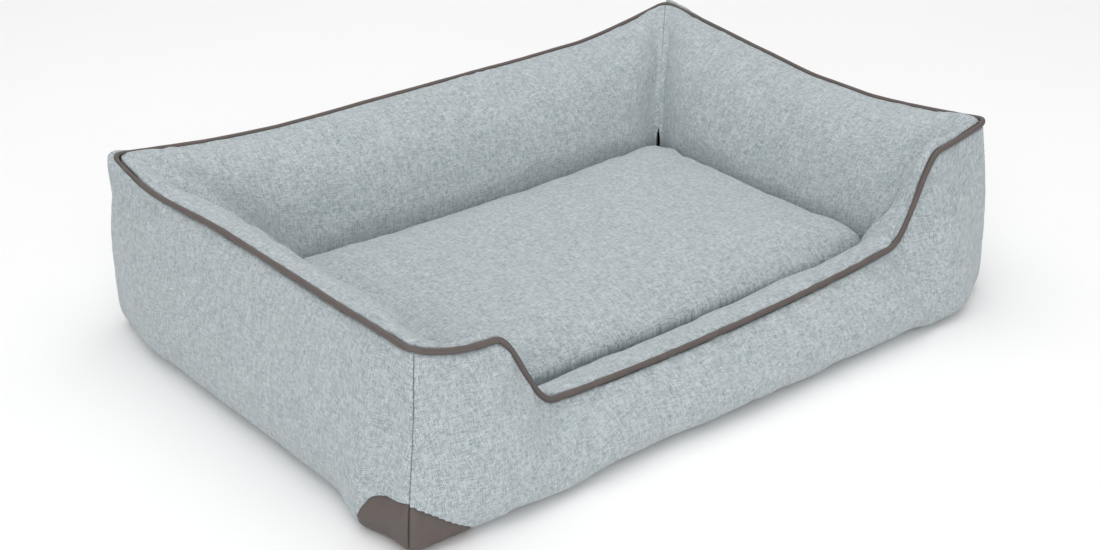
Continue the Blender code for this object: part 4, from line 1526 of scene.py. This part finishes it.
def rounded_grid(half: np.ndarray, radius: float, step: float, rings: np.ndarray | None = None) -> np.ndarray:
    """Return a grid over a rectangle with rounded corners, whose rows and columns follow its edge.

    Args:
        half: Half the rectangle's two sides.
        radius: The corners' radius.
        step: The grid's spacing.
        rings: How far in from the edge each ring lies, from the edge to the middle; even where none is given.

    Returns:
        Plan points, rows along Y and columns along X.
    """
    across, up = (int(2.0 * size / step) | 1 for size in half)
    u, v = np.meshgrid(np.linspace(-1.0, 1.0, across), np.linspace(-1.0, 1.0, up))
    ring = np.maximum(np.abs(u), np.abs(v))
    inset = (1.0 - ring) * half.min() if rings is None else np.interp(
        1.0 - ring, np.linspace(0.0, 1.0, len(rings)), rings)
    spare = inset / half.min()
    sizes = [half[k] - inset - (half[k] - half.min()) * spare ** 2 for k in (0, 1)]
    bend = radius * np.clip(1.0 - spare, 0.0, 1.0)
    plan = np.zeros((*u.shape, 2))
    for main, other, first, second in ((0, 1, u, v), (1, 0, v, u)):
        use = np.abs(first) >= np.abs(second)
        share = np.abs(second) / np.maximum(np.abs(first), NOTHING)
        bow = np.minimum(bend, np.minimum(sizes[main], sizes[other]))
        straight = sizes[other] - bow
        gone = share * (straight + bow * math.pi / 4.0)
        turn = np.maximum(0.0, gone - straight) / np.maximum(bow, NOTHING)
        far = sizes[main] - bow * (1.0 - np.cos(turn))
        off = np.minimum(gone, straight) + bow * np.sin(turn)
        plan[..., main] = np.where(use, np.sign(first) * far, plan[..., main])
        plan[..., other] = np.where(use, np.sign(second) * off, plan[..., other])
    return plan


# ---- Cushion -----------------------------------------------------------------------------------
@dataclass
class Cushion:
    """The loose cushion: a crowned cover in two panels, closed by a zip along its rear edge."""

    corner_radius: float = 0.034
    seam_height: float = 0.045
    puff: float = 0.0060
    side_rise: float = 0.019
    side_fall: float = 0.014
    base_bend: float = 0.045
    step: float = 0.0066
    cloth: float = 0.0012
    notch_half: float = 0.0052
    notch_reach: float = 0.2046
    stuffing_gap: float = 0.006
    section_points: int = 200

    def __post_init__(self) -> None:
        """Take the cushion's sizes from the frame."""
        self.half, self.middle = plan_of("cushion_cover_top")
        self.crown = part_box("cushion_cover_top")[1].z
        self.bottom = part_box("cushion_cover_base")[0].z

    def section(self, top: bool) -> np.ndarray:
        """Return a panel's section from the seam to the middle.

        Args:
            top: Whether it is the top panel.

        Returns:
            (distance in from the edge, height) pairs, evenly spaced.
        """
        reach = float(self.half.min())
        turn = np.linspace(0.0, QUARTER, 20)
        if top:
            swell = self.seam_height + self.side_rise
            side = np.stack((-self.puff * np.sin(turn),
                             self.seam_height + self.side_rise * turn / QUARTER), axis=1)
            spread = np.linspace(0.0, 1.0, 120)[1:] ** 2
            cover = (1.0 - (1.0 - spread) ** 3.0) ** 0.50
            inward = spread * (reach + self.puff) - self.puff
            rest = np.stack((inward, swell + (self.crown - swell) * cover), axis=1)
        else:
            swell = self.seam_height - self.side_fall
            side = np.stack((-0.001 * np.sin(turn),
                             self.seam_height - self.side_fall * turn / QUARTER), axis=1)
            arc = np.linspace(0.0, QUARTER, 40)[1:]
            inward = self.base_bend * (1.0 - np.cos(arc)) - 0.001
            bend = np.stack((inward, swell + (self.bottom - swell) * np.sin(arc)), axis=1)
            rest = np.concatenate((bend, [(reach, self.bottom)]))
        return even_curve(np.concatenate((side, rest)), self.section_points)

    def panel_grid(self, top: bool) -> np.ndarray:
        """Return the grid of the top or the base panel before it is filled."""
        section = self.section(top)
        up = int(2.0 * self.half[1] / self.step) | 1
        across = int(2.0 * self.half[0] / self.step) | 1
        plan = rounded_grid(self.half, self.corner_radius, self.step, section[:, 0])
        u, v = np.meshgrid(np.linspace(-1.0, 1.0, across), np.linspace(-1.0, 1.0, up))
        ring = 1.0 - np.maximum(np.abs(u), np.abs(v))
        height = np.interp(ring, np.linspace(0.0, 1.0, len(section)), section[:, 1])
        grid = np.concatenate((plan + self.middle, height[..., None]), axis=-1)
        return grid if top else grid[:, ::-1]

    def prepare(self) -> list[Filling]:
        """Lay out both panels and return them for the simulation."""
        self.grids = {top: self.panel_grid(top) for top in (True, False)}
        self.fillings = {}
        for top, name in ((True, "cushion_top_blank"), (False, "cushion_base_blank")):
            grid = self.grids[top]
            held = np.zeros(grid.shape[:2], bool)
            held[[0, -1]] = True
            held[:, [0, -1]] = True
            if not top:
                held |= grid[..., 2] < self.bottom + 0.001
            self.fillings[top] = Filling(name, grid, held, growth=0.03, cap=0.004, pressure=3.0)
        return list(self.fillings.values())

    def finish_faces(self) -> None:
        """Refine the filled panels, pucker them along the seam and open the rear edge for the zip."""
        for top, grid in self.grids.items():
            moved = self.fillings[top].moved
            size = [2 * n - 1 for n in grid.shape[:2]]
            fine = refine(grid, *size) + refine(moved, *size)
            x, y = fine[..., 0], fine[..., 1]
            gaps = self.half - np.abs(fine[..., :2] - self.middle)
            gap = gaps.min(axis=-1)
            run = np.where(gaps[..., 0] < gaps[..., 1], y, x + 1.0)
            work = 0.0009 * rolling(11, run, 0.021) * np.exp(-np.maximum(gap, 0.0) / 0.030)
            work *= ease(np.abs(fine[..., 2] - self.seam_height) / 0.012)
            work += 0.0011 * mottle(12, x, y, 0.085, 0.070) + 0.0005 * mottle(13, x, y, 0.030, 0.034)
            if not top:
                work *= ease((fine[..., 2] - self.bottom) / 0.01)
            fine = fine + outward(fine) * work[..., None]
            self.grids[top] = self.keep_clear(self.open_for_zip(fine, top), self.puff if top else 0.0002)

    def keep_clear(self, grid: np.ndarray, spare: float) -> np.ndarray:
        """Return a panel's grid held back from the walls and from the zip's pull."""
        held = grid.copy()
        reach = self.half + spare
        held[..., :2] = np.clip(grid[..., :2], self.middle - reach, self.middle + reach)
        return held

    def open_for_zip(self, grid: np.ndarray, top: bool) -> np.ndarray:
        """Return a panel's grid with its rear edge lifted clear of the zip."""
        rear = self.middle[1] + self.half[1]
        near = ease((grid[..., 1] - rear + 0.012) / 0.010)
        near *= ease((self.notch_reach + 0.004 - np.abs(grid[..., 0])) / 0.006)
        edge = self.notch_half * np.exp(-np.abs(grid[..., 2] - self.seam_height) / 0.009)
        moved = grid.copy()
        moved[..., 2] += (1.0 if top else -1.0) * near * edge
        return moved

    def build(self, palette: Palette) -> None:
        """Build and dress the cover's two panels and the filling."""
        for top, name, node in ((True, "cushion_top_cloth", "cushion_cover_top"),
                                (False, "cushion_base_cloth", "cushion_cover_base")):
            grid = self.grids[top]
            panel = cloth_panel(name, grid, self.cloth, grid + (21.0, 0.0, 0.0))
            place_piece(panel, palette, "cover_fabric", CUSHION, (node,))
        self.build_filling(palette)

    def build_filling(self, palette: Palette) -> None:
        """Build the fibre filling: one closed body inside both panels."""
        upper, lower = (self.grids[top][4:-4:4, 4:-4:4] for top in (True, False))
        upper = upper - outward(upper) * self.stuffing_gap
        lower = lower[:, ::-1] + outward(lower[:, ::-1]) * self.stuffing_gap
        points = np.concatenate((upper.reshape(-1, 3), lower.reshape(-1, 3)))
        body = mesh_object("cushion_stuffing", points, closed_faces(*upper.shape[:2]))
        place_piece(body, palette, "filling", CUSHION, ("cushion_filling",))


# ---- Zip ---------------------------------------------------------------------------------------
@dataclass
class ZipFastener:
    """The zip on the cushion's rear edge: wound coils on woven tapes, with its slider and pull."""

    pitch: float = 0.0016
    wire: float = 0.00035
    wire_sides: int = 5
    turn_points: int = 9
    end_gap: float = 0.0008

    def coil(self, name: str, node: str, shift: float) -> bpy.types.Object:
        """Wind one of the two coils inside the bar that the frame gives for it.

        Args:
            name: The piece's name.
            node: The frame's node.
            shift: Where the first turn starts, as a share of a turn.

        Returns:
            The coil.
        """
        low, high = (np.array(corner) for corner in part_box(node))
        turns = int((high[0] - low[0]) / self.pitch)
        angle = np.linspace(0.0, FULL_TURN * turns, turns * self.turn_points) + FULL_TURN * shift
        x = np.linspace(low[0] + self.end_gap, high[0] - self.end_gap, len(angle))
        middle, half = (low + high) / 2.0, (high - low) / 2.0 - self.wire
        path = np.stack((x, middle[1] + half[1] * np.cos(angle), middle[2] + half[2] * np.sin(angle)), axis=1)
        radius = np.full(len(path), self.wire)
        corners, faces, _ = tube(path, radius, self.wire_sides, False, upright=(1.0, 0.0, 0.0))
        return mesh_object(name, corners, faces)

    def build(self, palette: Palette) -> None:
        """Build the coils and dress the tapes, stops, slider and pull."""
        for name, node, shift in (("upper_zip_coil", "zip_coil_upper", 0.0),
                                  ("lower_zip_coil", "zip_coil_lower", 0.5)):
            place_piece(self.coil(name, node, shift), palette, "zip_coil", CUSHION, (node,))
        for node, slot in (("zip_tape_upper", "zip_tape"), ("zip_tape_lower", "zip_tape"),
                           ("zip_stop_closed", "zip_metal"), ("zip_stop_open", "zip_metal"),
                           ("zip_slider", "zip_metal"), ("zip_pull", "zip_metal")):
            obj = frame["nodes"][node]
            points = np.array([v.co[:] for v in obj.data.vertices])
            keep_lay(obj.data, points[:, [0, 2, 1]])
            palette.dress(obj, slot)


# ---- Studio ------------------------------------------------------------------------------------
@dataclass
class Studio:
    """A pale floor, soft light and the camera."""

    camera_place: tuple = (-1.3255, -1.5895, 1.0653)
    camera_tilt: float = 63.6
    camera_turn: float = -39.4
    lens: float = 63.52
    floor_size: float = 12.0
    floor_gap: float = 0.0003
    sky_strength: float = 0.64

    def build(self) -> None:
        """Build the floor, the sky, the lights and the camera."""
        scene = bpy.context.scene
        scene.view_settings.view_transform = "Standard"
        self.floor()
        self.sky()
        self.soft_box("overhead_light", (0.1, 0.2, 2.6), (0.0, 0.0, 0.0), 3.2, 36.0)
        self.soft_box("key_light", (-1.9, -2.3, 1.2), (0.0, 0.0, 0.1), 2.4, 31.0)
        self.camera()

    def floor(self) -> None:
        """Build the pale floor with a faint unevenness in its shade."""
        half = self.floor_size / 2.0
        corners = ((-1, -1), (1, -1), (1, 1), (-1, 1))
        points = np.array([(x * half, y * half, -self.floor_gap) for x, y in corners])
        obj = mesh_object("studio_floor", points, [(0, 1, 2, 3)])
        material, nodes, shader = new_material("pale_floor", {"Roughness": 0.9, "Specular IOR Level": 0.1})
        place = nodes.add("ShaderNodeTexCoord").outputs["Object"]
        shade = nodes.noise(place, 2.0, 3.0)
        colour = nodes.blend(shade, (0.93, 0.93, 0.93, 1.0), (0.96, 0.96, 0.96, 1.0))
        nodes.tree.links.new(colour, shader.inputs["Base Color"])
        obj.data.materials.append(material)

    def sky(self) -> None:
        """Light the scene evenly from all round."""
        world = bpy.data.worlds.new("soft_sky")
        world.use_nodes = True
        background = world.node_tree.nodes["Background"]
        background.inputs["Color"].default_value = (1.0, 1.0, 1.0, 1.0)
        background.inputs["Strength"].default_value = self.sky_strength
        bpy.context.scene.world = world

    def soft_box(self, name: str, place: tuple, target: tuple, size: float, power: float) -> None:
        """Hang a square soft light that looks at a point.

        Args:
            name: The light's name.
            place: Where it hangs.
            target: The point it looks at.
            size: Its side.
            power: Its power in watts.
        """
        data = bpy.data.lights.new(name, "AREA")
        data.shape = "SQUARE"
        data.size = size
        data.energy = power
        light = bpy.data.objects.new(name, data)
        bpy.context.scene.collection.objects.link(light)
        light.location = place
        gaze = np.array(target) - np.array(place)
        gaze /= np.linalg.norm(gaze)
        light.rotation_euler = (math.acos(-gaze[2]), 0.0, math.atan2(gaze[0], -gaze[1]) + math.pi)

    def camera(self) -> None:
        """Set up the camera."""
        data = bpy.data.cameras.new("camera")
        data.lens = self.lens
        data.sensor_width = 36.0
        data.sensor_fit = "HORIZONTAL"
        camera = bpy.data.objects.new("camera", data)
        bpy.context.scene.collection.objects.link(camera)
        camera.location = self.camera_place
        camera.rotation_euler = (math.radians(self.camera_tilt), 0.0, math.radians(self.camera_turn))
        bpy.context.scene.camera = camera


# Folds that handling has left. Each end is (distance along the wall, share up the face from its first row).
FRONT_CREASES = (
    Crease(Face.OUTER, (-0.395, 0.86), (-0.335, 0.90), 0.0022, 0.0045),
    Crease(Face.OUTER, (-0.300, 0.55), (-0.255, 0.72), 0.0010, 0.0060),
)
RIGHT_CREASES = (
    Crease(Face.INNER, (0.215, 0.20), (0.165, 0.07), 0.0016, 0.0050),
    Crease(Face.INNER, (0.185, 0.25), (0.130, 0.08), 0.0014, 0.0050),
    Crease(Face.INNER, (0.150, 0.28), (0.085, 0.09), 0.0012, 0.0055),
    Crease(Face.INNER, (0.060, 0.30), (0.015, 0.08), 0.0010, 0.0060),
)
BACK_CREASES = (
    Crease(Face.INNER, (-0.375, 0.16), (-0.335, 0.07), 0.0013, 0.0050),
    Crease(Face.INNER, (-0.340, 0.22), (-0.290, 0.09), 0.0012, 0.0055),
    Crease(Face.INNER, (-0.245, 0.05), (-0.215, 0.17), 0.0014, 0.0050),
    Crease(Face.INNER, (0.120, 0.05), (0.150, 0.20), 0.0013, 0.0055),
    Crease(Face.INNER, (0.165, 0.05), (0.185, 0.15), 0.0013, 0.0050),
)
LEFT_CREASES = (
    Crease(Face.OUTER, (0.240, 0.93), (0.262, 0.84), 0.0012, 0.0050),
    Crease(Face.OUTER, (0.215, 0.36), (0.262, 0.40), 0.0020, 0.0050),
    Crease(Face.OUTER, (-0.262, 0.90), (-0.225, 0.80), 0.0012, 0.0060),
)
LEFT_SWELLS = (Swell(Face.OUTER, (0.240, 0.050), 0.011, (0.030, 0.032)),)
FRONT_DEPTH = 0.061
CREASE_DEPTH = 0.006
END_REACH = 0.1


def clear_startup() -> None:
    """Remove the startup scene's own objects."""
    for obj in list(bpy.context.scene.objects):
        if "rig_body" not in obj and not obj.name.startswith("body:"):
            bpy.data.objects.remove(obj, do_unlink=True)


def main() -> None:
    """Build the bed's looks round the frame."""
    logging.basicConfig(level=logging.INFO, format="%(name)s: %(message)s")
    clear_startup()
    palette = Palette()
    piping_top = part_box("rim_piping_cover")[1]
    radius = RimLine.piping_radius
    rim = RimLine(piping_top.x - radius, piping_top.y - radius, piping_top.z - radius)
    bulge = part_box("outer_panel_back")[1].y - rim.half_width
    reach = rim.half_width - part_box("inner_panel_back")[0].y
    deep = reach - 0.001
    fold = deep - CREASE_DEPTH
    plain = End(deep, END_REACH, deep)
    creased = End(fold, 0.12, fold)
    by_front, in_front = End(deep, END_REACH, FRONT_DEPTH), End(FRONT_DEPTH, END_REACH, deep)
    walls = {
        Side.FRONT: Wall(Side.FRONT, rim, bulge, FRONT_DEPTH, (in_front, in_front), seed=100,
                         foot_bulge=0.052, fullness=1.9, low_fullness=0.8, crest_inset=0.015,
                         creases=FRONT_CREASES),
        Side.RIGHT: Wall(Side.RIGHT, rim, bulge, deep, (by_front, creased), seed=200, lips=(0.0, 0.008),
                         fullness=1.25, creases=RIGHT_CREASES),
        Side.BACK: Wall(Side.BACK, rim, bulge, deep, (creased, plain), seed=300, lips=(0.003, 0.006),
                        fullness=1.25, creases=BACK_CREASES),
        Side.LEFT: Wall(Side.LEFT, rim, bulge, deep, (plain, by_front), seed=400, lips=(0.006, 0.0),
                        fullness=1.75, crest_inset=0.025, creases=LEFT_CREASES, swells=LEFT_SWELLS),
    }
    cushion = Cushion()
    fill_all([wall.prepare() for wall in walls.values()] + cushion.prepare())
    patches = CornerPatches()
    for wall in walls.values():
        wall.finish_faces(patches)
        wall.build(palette)
    patches.build(walls, palette)
    CornerSeams().build(walls, palette, patches)
    Piping(rim).build(walls, palette)
    NestFloor().build(palette)
    cushion.finish_faces()
    cushion.build(palette)
    ZipFastener().build(palette)
    Studio().build()
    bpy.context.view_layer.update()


if __name__ == "__main__":
    main()
